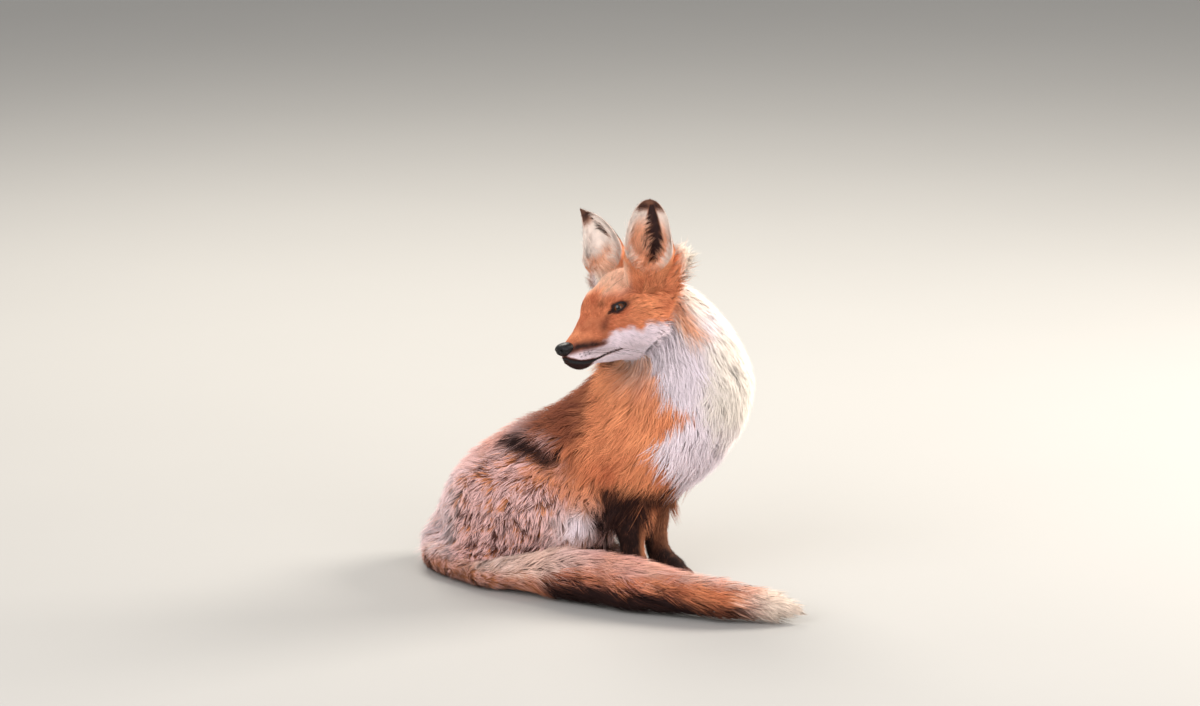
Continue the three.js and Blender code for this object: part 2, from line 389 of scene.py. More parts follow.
class FoxView(bpy.types.PropertyGroup):
    """Camera and floor."""

    azimuth: angle("Azimuth", "Camera's turn round the fox", 22)
    elevation: angle("Elevation", "Camera's height above level", 13)
    distance: bpy.props.FloatProperty(
        name="Distance", description="Camera to the fox", default=8.0, unit="LENGTH"
    )
    lens: bpy.props.FloatProperty(name="Lens", description="Focal length in millimetres", default=200.0)
    floor: colour("Floor", "Pale studio floor", (0.42, 0.413, 0.402))


# ------------------------------------------------------------------ shader expressions


class Socket:
    """A shader value that adds its own Math nodes when it is reckoned with."""

    def __init__(self, tree, out):
        self.tree = tree
        self.out = out

    def node(self, kind, settings=None, **inputs):
        return add_node(self.tree, kind, settings, **inputs)

    def maths(self, operation, *values, clamp=False):
        """A Math node on values, which are numbers or sockets."""
        numbered = {f"i{n}": value for n, value in enumerate(values)}
        return self.node("ShaderNodeMath", {"operation": operation, "use_clamp": clamp}, **numbered)

    def __add__(self, other):
        return self.maths("ADD", self, other)

    def __sub__(self, other):
        return self.maths("SUBTRACT", self, other)

    def __rsub__(self, other):
        return self.maths("SUBTRACT", other, self)

    def __mul__(self, other):
        return self.maths("MULTIPLY", self, other)

    def __truediv__(self, other):
        return self.maths("DIVIDE", self, other)

    def __rtruediv__(self, other):
        return self.maths("DIVIDE", other, self)

    def __pow__(self, other):
        return self.maths("POWER", self, other)

    def __rpow__(self, other):
        return self.maths("POWER", other, self)

    __radd__ = __add__
    __rmul__ = __mul__

    def clamped(self):
        return self.maths("ADD", self, 0.0, clamp=True)

    def between(self, low, high):
        """0 below low, 1 above high, smooth between."""
        return self.node(
            "ShaderNodeMapRange",
            {"interpolation_type": "SMOOTHSTEP"},
            Value=self,
            From_Min=low,
            From_Max=high,
            To_Min=0.0,
            To_Max=1.0,
        )


def add_node(tree, kind, settings=None, output=0, **inputs):
    """Adds a node, its settings first, then its inputs. i0, i1 name inputs by number."""
    node = tree.nodes.new(kind)
    for name, value in (settings or {}).items():
        setattr(node, name, value)
    for name, value in inputs.items():
        socket = node.inputs[int(name[1:])] if name[1:].isdigit() else node.inputs[name.replace("_", " ")]
        if isinstance(value, Socket):
            tree.links.new(value.out, socket)
        elif socket.type == "RGBA" and len(value) == 3:
            socket.default_value = (*value, 1.0)
        else:
            socket.default_value = value
    return Socket(tree, node.outputs[output])


class Finish:
    """One material under construction."""

    def __init__(self, name, roughness, specular=0.5, **constants):
        self.material = bpy.data.materials.new(name)
        self.material.use_nodes = True
        self.tree = self.material.node_tree
        self.shader = self.tree.nodes["Principled BSDF"]
        self.shader.inputs["Roughness"].default_value = roughness
        self.shader.inputs["Specular IOR Level"].default_value = specular
        for key, value in constants.items():
            self.shader.inputs[key.replace("_", " ")].default_value = value

    def node(self, kind, settings=None, output=0, **inputs):
        return add_node(self.tree, kind, settings, output, **inputs)

    def value(self, name):
        """A value stored on the piece's own vertices."""
        return self.node("ShaderNodeAttribute", {"attribute_name": name}, output=2)

    def place(self):
        return self.node("ShaderNodeTexCoord", output=3)

    def noise(self, scale, detail, vector=None):
        vector = vector or self.place()
        return self.node("ShaderNodeTexNoise", Vector=vector, Scale=scale, Detail=detail)

    def mix(self, share, low, high):
        """Low where the share is 0 and high where it is 1; both are colours."""
        return self.node("ShaderNodeMix", {"data_type": "RGBA"}, output=2, i0=share, i6=low, i7=high)

    def scaled(self, rgb, amount):
        """A colour made darker or lighter by a value."""
        return self.node("ShaderNodeVectorMath", {"operation": "SCALE"}, i0=rgb, Scale=amount)

    def done(self, base, bump=None, **make):
        """The material, with its colour and, where they are given, its bumps' height and make."""
        self.tree.links.new(base.out, self.shader.inputs["Base Color"])
        if bump is not None:
            normal = self.node("ShaderNodeBump", Height=bump, **make)
            self.tree.links.new(normal.out, self.shader.inputs["Normal"])
        return self.material


# ------------------------------------------------------------------ ears


# Each ear's root, middle and tip in the head's frame, and how far to its left the opening faces.
EAR_PLACES = {
    1: ((-132, 38, 44), (-139, 57, 96), (-142, 72, 140), 35),
    -1: ((-133, -33, 44), (-139, -36, 92), (-141, -64, 137.4), 22),
}
EAR_HALF_WIDTH = 32.0
# How much each ear narrows towards its tip, and how late.
EAR_TAPER = {1: (0.55, 2.2, 13), -1: (0.90, 2.4, 9)}
# How much narrower it is low down.
EAR_WAIST = {1: 0.22, -1: 0.34}
# Below this part of its height the pinna is a closed tube, which flares out into the head at its foot.
EAR_CLOSED = 0.06
EAR_FOOT = -0.22
# The half angle, in degrees, that the sheet is rolled through at each part of the height.
EAR_ROLL_T = (EAR_CLOSED, 0.14, 0.24, 0.4, 0.7, 1)
EAR_ROLL_ANGLE = (180, 146, 114, 90, 66, 42)
# How deep the roll is over its width.
EAR_DEEP = 0.62
# Rings of points up each pinna, and points along each of its two faces in a ring.
EAR_ROWS, EAR_COLUMNS = 52, 48


class Ear:
    """One pinna: a bent sheet rolled about a line, in the head's frame.
    t runs from 0 at its root to 1 at its tip, s from -1 at the inner edge to 1 at the outer."""

    def __init__(self, sign):
        self.sign = sign
        *places, turned = EAR_PLACES[sign]
        self.root, middle, self.tip = (np.array(p, float) for p in places)
        self.knee = 2 * middle - (self.root + self.tip) / 2
        self.faces = np.array([math.cos(math.radians(turned)), math.sin(math.radians(turned)), 0.0])

    def line(self, t):
        t = np.asarray(t, float)[..., None]
        return self.root * (1 - t) ** 2 + self.knee * 2 * t * (1 - t) + self.tip * t**2

    def axes(self, t):
        """Along the line, ahead out of the opening, and across to the outer edge."""
        t = np.asarray(t, float)[..., None]
        along = unit(2 * (1 - t) * (self.knee - self.root) + 2 * t * (self.tip - self.knee))
        ahead = unit(self.faces - (along @ self.faces)[..., None] * along)
        return along, ahead, self.sign * np.cross(along, ahead)

    def roll(self, t):
        """The half angle the sheet is rolled through, and its radius."""
        half = np.radians(np.interp(t, EAR_ROLL_T, EAR_ROLL_ANGLE))
        amount, late, blunt = EAR_TAPER[self.sign]
        up = np.clip(t, 0, 1)
        wide = EAR_HALF_WIDTH * (1 - amount * up**late) * np.sqrt(np.clip(1 - up**blunt, 0, 1))
        wide = np.maximum(wide * (1 - EAR_WAIST[self.sign] * step(t, 0.45, 0.05)), 0.8)
        return half, wide / np.sin(np.minimum(half, math.pi / 2))

    def axis_point(self, t):
        """The middle of the roll."""
        half, radius = self.roll(t)
        return self.line(t) + self.axes(t)[1] * (EAR_DEEP * radius * (1 + np.cos(half)) / 2)[..., None]

    def sheet(self, s, t):
        """Points on the inner face, and the way out through it."""
        half, radius = self.roll(t)
        _, ahead, across = self.axes(t)
        turn = (half * s)[..., None]
        place = across * np.sin(turn) - ahead * (EAR_DEEP * np.cos(turn))
        out = unit(across * (EAR_DEEP * np.sin(turn)) - ahead * np.cos(turn))
        return self.axis_point(t) + place * radius[..., None], out

    def height(self, head):
        """t at head points, from their height alone."""
        return (head[:, 2] - self.root[2]) / (self.tip[2] - self.root[2])

    def inside(self, head):
        """1 well inside the rolled sheet, 0 outside it."""
        t = self.height(head)
        level = np.clip(t, EAR_FOOT, 1)
        _, radius = self.roll(level)
        offset = head - self.axis_point(level)
        ahead = self.axes(level)[1]
        offset += ahead * ((offset * ahead).sum(1) * (1 / EAR_DEEP - 1))[:, None]
        gap = np.linalg.norm(offset, axis=1) / radius
        return step(gap, 0.93, 0.82) * step(t, EAR_FOOT, EAR_FOOT + 0.1) * step(t, 0.06, 0.0)


def in_an_ear(head):
    return np.maximum(Ear(1).inside(head), Ear(-1).inside(head))


def ear_shell(sign, shell):
    """The pinna as a closed thin shell: points, quads, and s, t and inner or outer for each point.
    shell finds the nearest place on the head."""
    ear = Ear(sign)
    t = np.linspace(EAR_FOOT, 1, EAR_ROWS)
    s = np.linspace(-1, 1, EAR_COLUMNS)
    grid_s, grid_t = np.meshgrid(s, t)
    inner, out = ear.sheet(grid_s, grid_t)
    # The inner edge curls in low down, and the outer edge has its small pocket.
    _, ahead, across = ear.axes(grid_t)
    curl = np.exp(-(((grid_s + 0.95) / 0.2) ** 2)) * step(grid_t, 0.7, 0.1)
    pocket = np.exp(-(((grid_s - 0.82) / 0.1) ** 2) - (((grid_t - 0.38) / 0.1) ** 2))
    inner = inner + across * (3.0 * curl)[..., None] + out * (2.0 * pocket)[..., None]
    # Its foot bends out to the head all round.
    foot = t < EAR_CLOSED
    start, start_out = ear.sheet(s, np.full(EAR_COLUMNS, EAR_CLOSED))
    along = ear.axes(EAR_CLOSED)[0]
    landing = []
    for place in from_head(start + start_out * 6 - along * 13):
        landing.append(to_head(np.array([shell.find_nearest(Vector(place))[0]]))[0])
    landing = np.array(landing) - start_out * 1.5 - along * 1.5
    bend = start - along * 9
    u = ((EAR_CLOSED - t[foot]) / (EAR_CLOSED - EAR_FOOT))[:, None, None]
    inner[foot] = start * (1 - u) ** 2 + bend * 2 * u * (1 - u) + landing * u**2
    edge = np.sqrt(np.clip(1 - np.abs(grid_s) ** 6, 0.05, 1))
    wall = (2.2 - 1.2 * np.clip(grid_t, 0, 1)) * edge
    outer = inner + out * wall[..., None]
    ring = np.concatenate([inner, outer[:, ::-1]], axis=1)
    faces = capped_faces(EAR_ROWS, 2 * EAR_COLUMNS)
    both = {
        "ear_s": np.concatenate([grid_s, grid_s[:, ::-1]], axis=1),
        "ear_t": np.concatenate([grid_t, grid_t], axis=1),
        "ear_in": np.concatenate([grid_s * 0 + 1, grid_s * 0], axis=1),
    }
    return ring.reshape(-1, 3), faces, {name: value.reshape(-1) for name, value in both.items()}


# ------------------------------------------------------------------ markings
# Each takes points in the plan's or the head's frame and gives every mark there, as {mark: strength}.
# Skin and coat share them.


def blended_marks(points, weight, ear):
    """The markings at world points. weight is {region: share} and ear {ear_s, ear_t, ear_in} there."""
    plan, head = to_plan(points), to_head(points)
    own_ear = weight["ear"] * step(ear["ear_t"], 0.02, 0.22)
    by_part = (
        (weight["head"] + weight["ear"] - own_ear, marks_on_head(head)),
        (weight["neck"], marks_on_neck(plan, head)),
        (weight["trunk"] + weight["hind"] + weight["fore"], marks_on_body(plan)),
        (own_ear, marks_on_ear(head, ear)),
        (weight["tail"], marks_on_tail(plan)),
    )
    return {mark: np.clip(sum(share * marks[mark] for share, marks in by_part), 0, 1) for mark in MARKS}


def no_marks(n):
    return {mark: np.zeros(n) for mark in MARKS}


def over(marks, **changes):
    """Lays marks over others: each is (amount, value), the old one giving way by the amount."""
    for name, (amount, value) in changes.items():
        marks[name] = marks[name] * (1 - amount) + amount * value


def patches(points, size, seed):
    """1 in scattered patches of about the given size, 0 between them."""
    return step(ripple(points, size, seed), 0.1, 0.7)


# White runs from the lip back over the cheek: its upper edge, as height at each distance back.
CHEEK_EDGE_X = (-170, -150, -123, -110, -96, -84, -71, -61, -50, -37, -19, -8, 0)
CHEEK_EDGE_Z = (-34, -18, -6, -2, -7, 2, 0, -6, -7, -4, -3.5, -5, -7)
# Dark streaks: down from the eye's inner corner, back from its outer one, and along the muzzle.
TEAR_LINE = ((-81, 25, 24), (-77, 24.5, 22), (-69, 24.5, 15), (-63, 23, 8))
EYE_CORNER = ((-100, 34, 28), (-107, 38, 29))
WHISKER_BAND = ((-14, 11, -4), (-22, 14, -4), (-32, 16, -5), (-44, 19, -8), (-56, 22, -12))
# Each whisker's place, back and up, in three rows.
WHISKER_ROOTS = tuple(
    (-22.0 - 5.5 * k - 1.5 * row, -9.5 - 3.6 * row) for row in range(3) for k in range(4 if row < 2 else 3)
)
# Places with their reach and strength. Brighter: the bridge, over the eye and the cheekbone.
FACE_BRIGHT = (
    ((-38, 0, 10), (24, 14, 9), 0.35),
    ((-88, 15, 48), (11, 9, 9), 0.75),
    ((-112, 44, 18), (16, 12, 14), 0.45),
)
# Browner: the bridge, under the eye and down the muzzle's side.
FACE_BROWN = (
    ((-58, 8, 14), (24, 10, 8), 0.3),
    ((-92, 36, 6), (16, 9, 6), 0.4),
    ((-58, 23, 12), (15, 9, 9), 0.2),
    ((-62, 25, 4), (7, 9, 13), 0.45),
)
# Painted rim light: the far side of the crown is nearly white.
CROWN_RIM_LIGHT = (
    ((-112, -38, 54), (20, 14, 20), 0.9),
    ((-90, -32, 42), (14, 9, 14), 0.7),
)


def dark_on_face(head):
    """The face's dark marks, and how much they take from the white."""
    both = mirrored(head)
    x, _, z = both.T
    tear = near_line(both, TEAR_LINE, 3.8) * (0.62 + 0.38 * step(z, 12, 22))
    corner = near_line(both, EYE_CORNER, 2.0)
    band = near_line(both, WHISKER_BAND, 6.6) * step(z, -15.5, -9)
    outside, _, _ = lid_gap(both, 1)
    rim = step(outside, 4.2, 1.2) * (0.75 + 0.25 * step(x, -92, -84))
    brow = near(both, (-71, 20, 36), (5, 5, 5))
    raised = lip_front(x)
    # Dark under the front of the jaw: the black lower lip's own colour, with painted shade under the chin.
    chin = 0.97 * step(x, -47, -38) * step(z, raised - 22, raised - 25)
    under_nose = near(both, (-10, 1.5, -13.5), (4.5, 5, 4.5))
    darks = (0.85 * tear, 0.97 * band, 0.96 * rim, 0.8 * corner, 0.55 * brow, chin, 0.95 * under_nose)
    return np.clip(np.maximum.reduce(darks), 0, 1), np.clip(1.1 * band + tear + rim + chin, 0, 1)


def lip_front(x):
    """How much higher the lips' dark reaches in front, under the nose."""
    return 5.0 * step(x, -26, -16)


def marks_on_head(head):
    marks = no_marks(len(head))
    both = mirrored(head)
    x, side, z = both.T
    edge = np.interp(x, CHEEK_EDGE_X, CHEEK_EDGE_Z) + 3 * ripple(head, 23) + 1.8 * ripple(head, 8, 2.0)
    cheek = step(z, edge + 4.0, edge - 4.5) * step(side + 0.4 * np.maximum(-z - 15, 0), 3, 7)
    throat = step(z, -24, -30) * step(x, -20, -45)
    marks["pale"] = np.maximum(0.9 * cheek, throat)
    # The face is rust, paler and brighter over the eyes and up between the ears: partly the crown's own
    # paler hair, partly painted light where the head's top faces the light.
    crown = step(x, -78, -104) * step(z, 30, 54) * step(side, 42, 26)
    marks["warm"] = 0.28 + 0.35 * step(x, -92, -128) + 0.2 * ripple(head, 31, 2.0)
    marks["warm"] += spots(both, FACE_BRIGHT) + 0.9 * crown
    marks["saddle"] = spots(both, FACE_BROWN)
    over(marks, pale=(0.40 * crown + 0.3 * near(both, (-86, 17, 46), (8, 6, 6)), 1.0))
    over(marks, pale=(np.clip(spots(head, CROWN_RIM_LIGHT), 0, 1), 1.0))
    over(marks, pale=(np.clip(1.3 * near(both, (-18, 8, -11), (6, 5, 4)), 0, 1), 0.95))
    marks["dark"], taken = dark_on_face(head)
    marks["pale"] *= 1 - taken
    # A dot at each whisker's root, and patches of painted shade in the white on the cheek and under the
    # jaw.
    dots = np.zeros(len(head))
    for dot_x, dot_z in WHISKER_ROOTS:
        dots = np.maximum(dots, np.exp(-((x - dot_x) ** 2 + (z - dot_z) ** 2) / 1.6))
    shade_patches = 0.35 * near(both, (-116, 34, -52), (18, 22, 20)) * patches(head, 9, 4.0)
    shade_patches += 0.3 * near(both, (-88, 34, -16), (22, 14, 9)) * patches(head, 8, 6.0)
    marks["dark"] = np.maximum(marks["dark"], 0.75 * dots * step(marks["dark"], 0.4, 0.1) + shade_patches)
    # Painted shade: the cheeks' white is the cool white of shade. Dark along the lips, their own black,
    # widened in front as painted shade over the gap between them.
    marks["warm"] *= 1 - 0.85 * cheek
    reach = 2.4 + 2.2 * step(x, -50, -34) + 1.6 * step(x, -24, -14)
    lip = step(gap_to_line(both, LIP_LINE), reach, 0.6 * reach) * step(x, -90, -80)
    lip *= step(z, lip_front(x) - 15.5, lip_front(x) - 17.5)
    over(marks, dark=(lip, 0.97), pale=(lip, 0.0))
    # The loose fur behind the left ear turns from orange to cream, the warm white painted lit.
    lobe = near(both, (-162, 64, 34), (17, 14, 26))
    mane = step(x - 0.3 * side, -178, -192) * step(z, -10, 14) * step(head[:, 1], 26, 40) * (1 - 0.7 * lobe)
    over(marks, warm=(lobe, 0.55), pale=(lobe, 0.0))
    over(marks, pale=(mane, 1.0), warm=(mane, 1.0))
    return marks


def marks_on_ear(head, ear):
    marks = no_marks(len(head))
    s, t = ear["ear_s"], ear["ear_t"]
    inner = step(ear["ear_in"], 0.3, 0.7)
    left = head[:, 1] > 0
    # Painted shade: the hollow is dark, nearer the inner edge on the right ear, and so is the pocket's
    # slit; tip and back are black in their own colour.
    middle = np.where(left, 0.06, -0.44)
    reach = np.where(left, 0.30 * step(t, 0.02, 0.34), 0.14) * (1 - 0.45 * step(t, 0.5, 1.0))
    hollow = inner * step(np.abs(s - middle), reach + 0.09, reach - 0.05) * step(t, 0.97, 0.9)
    hollow *= np.where(left, step(t, 0.08, 0.2), step(t, 0.38, 0.56))
    slit = 0.8 * inner * np.exp(-(((s - 0.80) / 0.07) ** 2) - (((t - 0.42) / 0.11) ** 2))
    tip = 0.85 * step(t, 0.77, 0.88) * step(np.abs(s), 1.0, 0.8)
    back = (1 - inner) * step(t + 0.08 * ripple(head, 17), 0.34, 0.52)
    marks["dark"] = np.maximum.reduce([0.97 * hollow, slit, tip, 0.97 * back])
    wall = inner * (1 - hollow)
    low = np.where(left, step(t, 0.80, 0.42), step(t, 0.42, 0.20))
    edge = step(np.abs(s), 0.62, 0.95)
    base = wall * low * (1 - 0.75 * edge * step(t, 0.1, 0.3))
    marks["pale"] = np.clip(wall * (0.9 + 0.1 * edge) * (1 - 0.82 * base), 0, 1) * (1 - tip)
    rim = step(np.abs(s), 0.90, 0.97)
    over(marks, pale=(rim * step(t, 0.2, 0.4), 0.85), dark=(rim, 0.12 + 0.4 * step(t, 0.9, 1.0)))
    # Painted light: the inner fur takes the warm, lit white, for the glow of light through the ears.
    marks["warm"] = np.where(inner > 0.5, 1.0 - 0.2 * (1 - base), 0.75)
    return marks


# The orange stripe down the neck: how far back it lies, less most of its distance out, at each height.
STRIPE_Z = (-60, -36, -13, 7, 22)
STRIPE_BACK = (-212, -207, -201, -193, -186)
# The bib's side edge: how far forward it lies at each height.
BIB_EDGE_Z = (110, 139, 154, 170, 184, 197, 208, 217, 224, 231, 240, 252, 265, 273, 285, 300, 330)
BIB_EDGE_X = (160, 158, 155, 152, 156, 165, 178, 194, 199, 190, 168, 161, 157, 148, 137, 136, 146)


def bib(plan):
    x, y, z = plan.T
    wander = 3.5 * ripple(plan, 31, 1.0)
    return step(x + wander - np.interp(z, BIB_EDGE_Z, BIB_EDGE_X), -3.5, 3.5)


def marks_on_neck(plan, head):
    marks = no_marks(len(plan))
    both = mirrored(head)
    x, side, z = both.T
    marks["pale"] = bib(plan)
    back = x - 0.8 * side - np.interp(z, STRIPE_Z, STRIPE_BACK)
    stripe = np.exp(-((back / 13) ** 2)) * step(z, -60, -32) * step(side, 24, 40)
    mane = step(x - 0.3 * side, -168, -182) * step(z, -40, 0) * step(side, 26, 40)
    over(marks, pale=(mane, 0.92))
    over(marks, pale=(0.85 * stripe, 0.0))
    marks["warm"] = 0.80 + 0.25 * ripple(plan, 60, 3.0)
    # Cool white in the throat's shade, warmer over the mane and the front of the neck.
    lit = np.maximum(mane, step(plan[:, 0], 196, 226))
    over(marks, warm=(marks["pale"] * (1 - stripe), 0.10 + 0.8 * lit))
    # Painted shade: dark patches in the white away from the front of the neck, for shadows among its locks.
    marks["dark"] = 0.52 * marks["pale"] * patches(plan, 11, 4.0) * step(plan[:, 0], 205, 165)
    # Painted light: pale where it meets the throat, over the near shoulder, for the coat's glow against the
    # light under the jaw.
    over(marks, pale=(0.48 * near(plan, (120, -74, 280), (42, 44, 24)) * (1 - marks["pale"]), 1.0))
    return marks


# The black band ahead of the haunch, and the orange along the thigh's upper front.
BLACK_BAND = ((-64, 34, 168), (-40, 46, 165), (-16, 54, 160), (6, 61, 148))
THIGH_LINE = ((-12, 68, 136), (26, 68, 126), (60, 70, 108))


def marks_on_body(plan):
    marks = no_marks(len(plan))
    x, y, z = plan.T
    side = np.abs(y)
    both = np.stack([x, side, z], 1)
    wander = 5 * ripple(plan, 47, 1.0)
    white = bib(plan) * step(z, 96, 116)
    marks["pale"] = white
    # Orange over rust at random, and brighter from the shoulders up as painted light for the coat's glow
    # against the light; more orange towards the front too.
    marks["warm"] = 0.50 + 0.30 * ripple(plan, 80, 3.0) + 0.35 * step(z, 200, 250) + 0.2 * step(x, 60, 100)
    # Painted shade: a cool white in the bib's hollow below; warmer and paler in front, where it is painted
    # lit.
    over(marks, warm=(white, 0.12 + 0.5 * step(x, 206, 232)))
    # Browner along the back, black ahead of the haunch and down the legs, and dark under the belly as
    # painted shade.
    high = step(z - 0.55 * x + wander, 140, 172)
    marks["saddle"] = 0.95 * high * step(x, 66, 36) * step(x, -86, -40)
    low = near(both, (30, 66, 142), (26, 30, 20))
    marks["saddle"] = np.maximum(marks["saddle"], 0.8 * low * step(x, 62, 44))
    band = np.exp(-((gap_to_line(both, BLACK_BAND) / 12.5) ** 4))
    belly_shade = step(z, 134, 116) * step(x, 62, 80) * step(x + 0.4 * (z - 120), 158, 146)
    flank = near(both, (72, 66, 142), (26, 24, 16))
    over(marks, warm=(flank, 0.25), saddle=(flank, 0.0))
    # Grizzled haunch, with orange on the thigh's upper front and a pale knee.
    thigh = near_line(both, THIGH_LINE, 16.0)
    haunch = step(x + 0.75 * (z - 100), 72, 26) * step(z - 0.45 * x, 196, 172)
    off_spine = step(side + 40 * step(x, -60, -100), 14, 34)
    marks["grizzle"] = haunch * off_spine * (1 - band) * (1 - 0.8 * thigh)
    over(marks, warm=(thigh, 0.85), saddle=(thigh, 0.15))
    knee = near(both, (56, 84, 72), (33, 32, 26))
    rim = step(x, -96, -128) + 0.7 * step(z - 0.5 * x, 176, 188) * step(x, -20, -60)
    over(marks, pale=(knee, 1.0), grizzle=(0.7 * knee, 0.2), warm=(knee, 0.15))
    # Painted rim light: paler, cooler coat along the rump's rear and the top of the back.
    over(marks, pale=(np.clip(0.6 * rim, 0, 0.6), 0.75))
    over(marks, warm=(np.clip(rim, 0, 1), 0.2))
    # Black legs and feet, with the belly's painted shade; the orange front edge of the legs, the right
    # foreleg's above all, is painted rim light.
    foreleg = step(z, 104, 84) * step(x, 78, 88)
    front = step(x + 0.12 * y, 114.5, 120) * step(z, 24, 50) * step(z, 112, 90)
    front *= np.where(y < 0, 0.85, 0.35)
    foot = step(z, 34, 22) * step(x, -60, -30) * step(side, 50, 62) * step(x, 70, 60)
    stockings_and_belly_shade = 0.96 * np.maximum(belly_shade, foreleg) * (1 - 0.8 * front)
    over(marks, warm=(front, 0.8))
    marks["dark"] = np.maximum.reduce([0.98 * band, stockings_and_belly_shade, 0.85 * foot])
    return marks


# How pale the top of the tail is painted at each place along it, for the rim light along its top.
TAIL_TOP_X = (-60, 70, 120, 200, 240)
TAIL_TOP_PALE = (0.5, 0.5, 0.25, 0.3, 0.75)


def marks_on_tail(plan):
    marks = no_marks(len(plan))
    x, z = plan[:, 0], plan[:, 2]
    wander = 8 * ripple(plan, 30)
    tip = step(x + wander, 284, 332)
    upper = 40 - 20 * step(x, 80, 30)
    # Painted rim light along the tail's top.
    rim_lit_top = step(z + 0.4 * wander, upper, upper + 16) * np.interp(x, TAIL_TOP_X, TAIL_TOP_PALE)
    marks["pale"] = np.maximum(0.82 * tip, rim_lit_top)
    # Painted shade: darker low on the tail, less so near its root, and darkest along its middle stretch,
    # where it is rustier too.
    shade = step(z, 46, 26) * step(x, 20, 70) * step(x, 250, 190)
    marks["dark"] = 0.78 * step(z, 38, 14) * (0.2 + 0.8 * step(x, 20, 90)) + 0.7 * shade
    marks["dark"] += 0.25 * step(ripple(plan, 34, 5.0), 0.1, 0.6)
    marks["dark"] *= 1 - 0.85 * tip
    marks["grizzle"] = 0.15 * step(x, 260, 120) + 0.45 * step(x, 60, -40)
    marks["warm"] = 0.40 + 0.25 * ripple(plan, 50, 4.0)
    over(marks, warm=(step(x, 80, 20), 0.8))
    over(marks, warm=(shade, 0.1))
    # The white tip takes the warm cream of white painted lit.
    over(marks, warm=(tip, 1.0))
    return marks


# ------------------------------------------------------------------ skin


def region_shares(points, edges, rounds):
    """Each region's share of each vertex, found from the nearest solid and smoothed."""
    shells = {}
    for node in FLESH:
        mesh = merged_copy(node, 0.0)
        shells[node] = BVHTree.FromBMesh(mesh)
        mesh.free()
    best = np.full(len(points), 1e9)
    region = np.zeros(len(points), int)
    for node, shell in shells.items():
        low, high = (np.array(c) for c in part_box(node))
        outside = np.linalg.norm(np.maximum(np.maximum(low - points, points - high), 0), axis=1)
        for i in np.flatnonzero(outside < np.minimum(best, 0.06)):
            distance = shell.find_nearest(Vector(points[i]))[3]
            if distance < best[i]:
                best[i] = distance
                region[i] = REGIONS.index(FLESH[node])
    return dict(zip(REGIONS, spread(np.eye(len(REGIONS))[region], edges, rounds).T))


def coat_depth(points, shares, coat):
    """How far the skin lies inside the coat's tips, in metres."""
    head, plan = to_head(points), to_plan(points)
    x, z, side = head[:, 0], head[:, 2], np.abs(head[:, 1])
    face = coat.face_depth * np.ones(len(points))
    face += 0.001 * step(x, -40, -80)
    face += 0.005 * step(x, -86, -125)
    face += 0.007 * step(x, -92, -125) * step(side, 24, 48) * step(z, 20, 0)
    face += 0.012 * step(x, -140, -165)
    # Thinner towards the tail's tip and over its root, and deeper towards the chest.
    tail = coat.tail_depth * (1 - 0.55 * step(plan[:, 0], 285, 345))
    tail *= 0.45 + 0.55 * step(plan[:, 0], -60, 20)
    trunk = coat.trunk_depth + (coat.neck_depth - coat.trunk_depth) * step(plan[:, 0], 100, 160)
    low = step(plan[:, 2], 60, 14)
    depth = {
        "head": face,
        "neck": coat.neck_depth * np.ones(len(points)),
        "trunk": trunk * (1 - 0.6 * low),
        "hind": coat.haunch_depth * (1 - 0.7 * step(plan[:, 2], 48, 20)),
        "fore": coat.leg_depth + 0.004 * step(plan[:, 2], 70, 110),
        "tail": tail,
        "ear": 0.0012 * np.ones(len(points)),
    }
    return sum(shares[name] * value for name, value in depth.items())


# Each foot's toes: the middle of their row in the plan's frame, and how far apart they stand.
FEET = (
    ((142.0, 32.0, 7.0), 7.2),
    ((137.0, -32.0, 7.0), 7.2),
    ((38.0, 82.0, 7.0), 7.6),
    ((38.0, -82.0, 7.0), 7.6),
)
TOE_HALF = np.array([12.0, 4.6, 6.4])


def toes():
    """The middles of all sixteen toes, in the plan's frame; the two inner ones of a foot lead."""
    middles = []
    for (x, y, z), spacing in FEET:
        for place, back in ((-1.5, 5.0), (-0.5, 0.0), (0.5, 0.0), (1.5, 5.0)):
            middles.append((x - back, y + place * spacing, z))
    return np.array(middles)


# Where the coat rounds the body out beyond its solids: place, reach and how far, in millimetres.
FULLNESS = (
    ((-108, 0, 138), (34, 60, 32), 13),
    ((-50, 0, 184), (34, 50, 30), 6),
    ((0, 0, 212), (40, 50, 34), 5),
    ((50, 0, 246), (36, 50, 34), 7),
    ((105, -128, 52), (60, 30, 16), 8),
    ((-158, -58, 18), (24, 36, 20), 18),
)


# The skin is evened out twice, the second time finer, with sides in metres.
ROUGH_SIDE, FINE_SIDE = 0.0042, 0.0031
# How far it stays above the floor.
SOLE = 0.0008


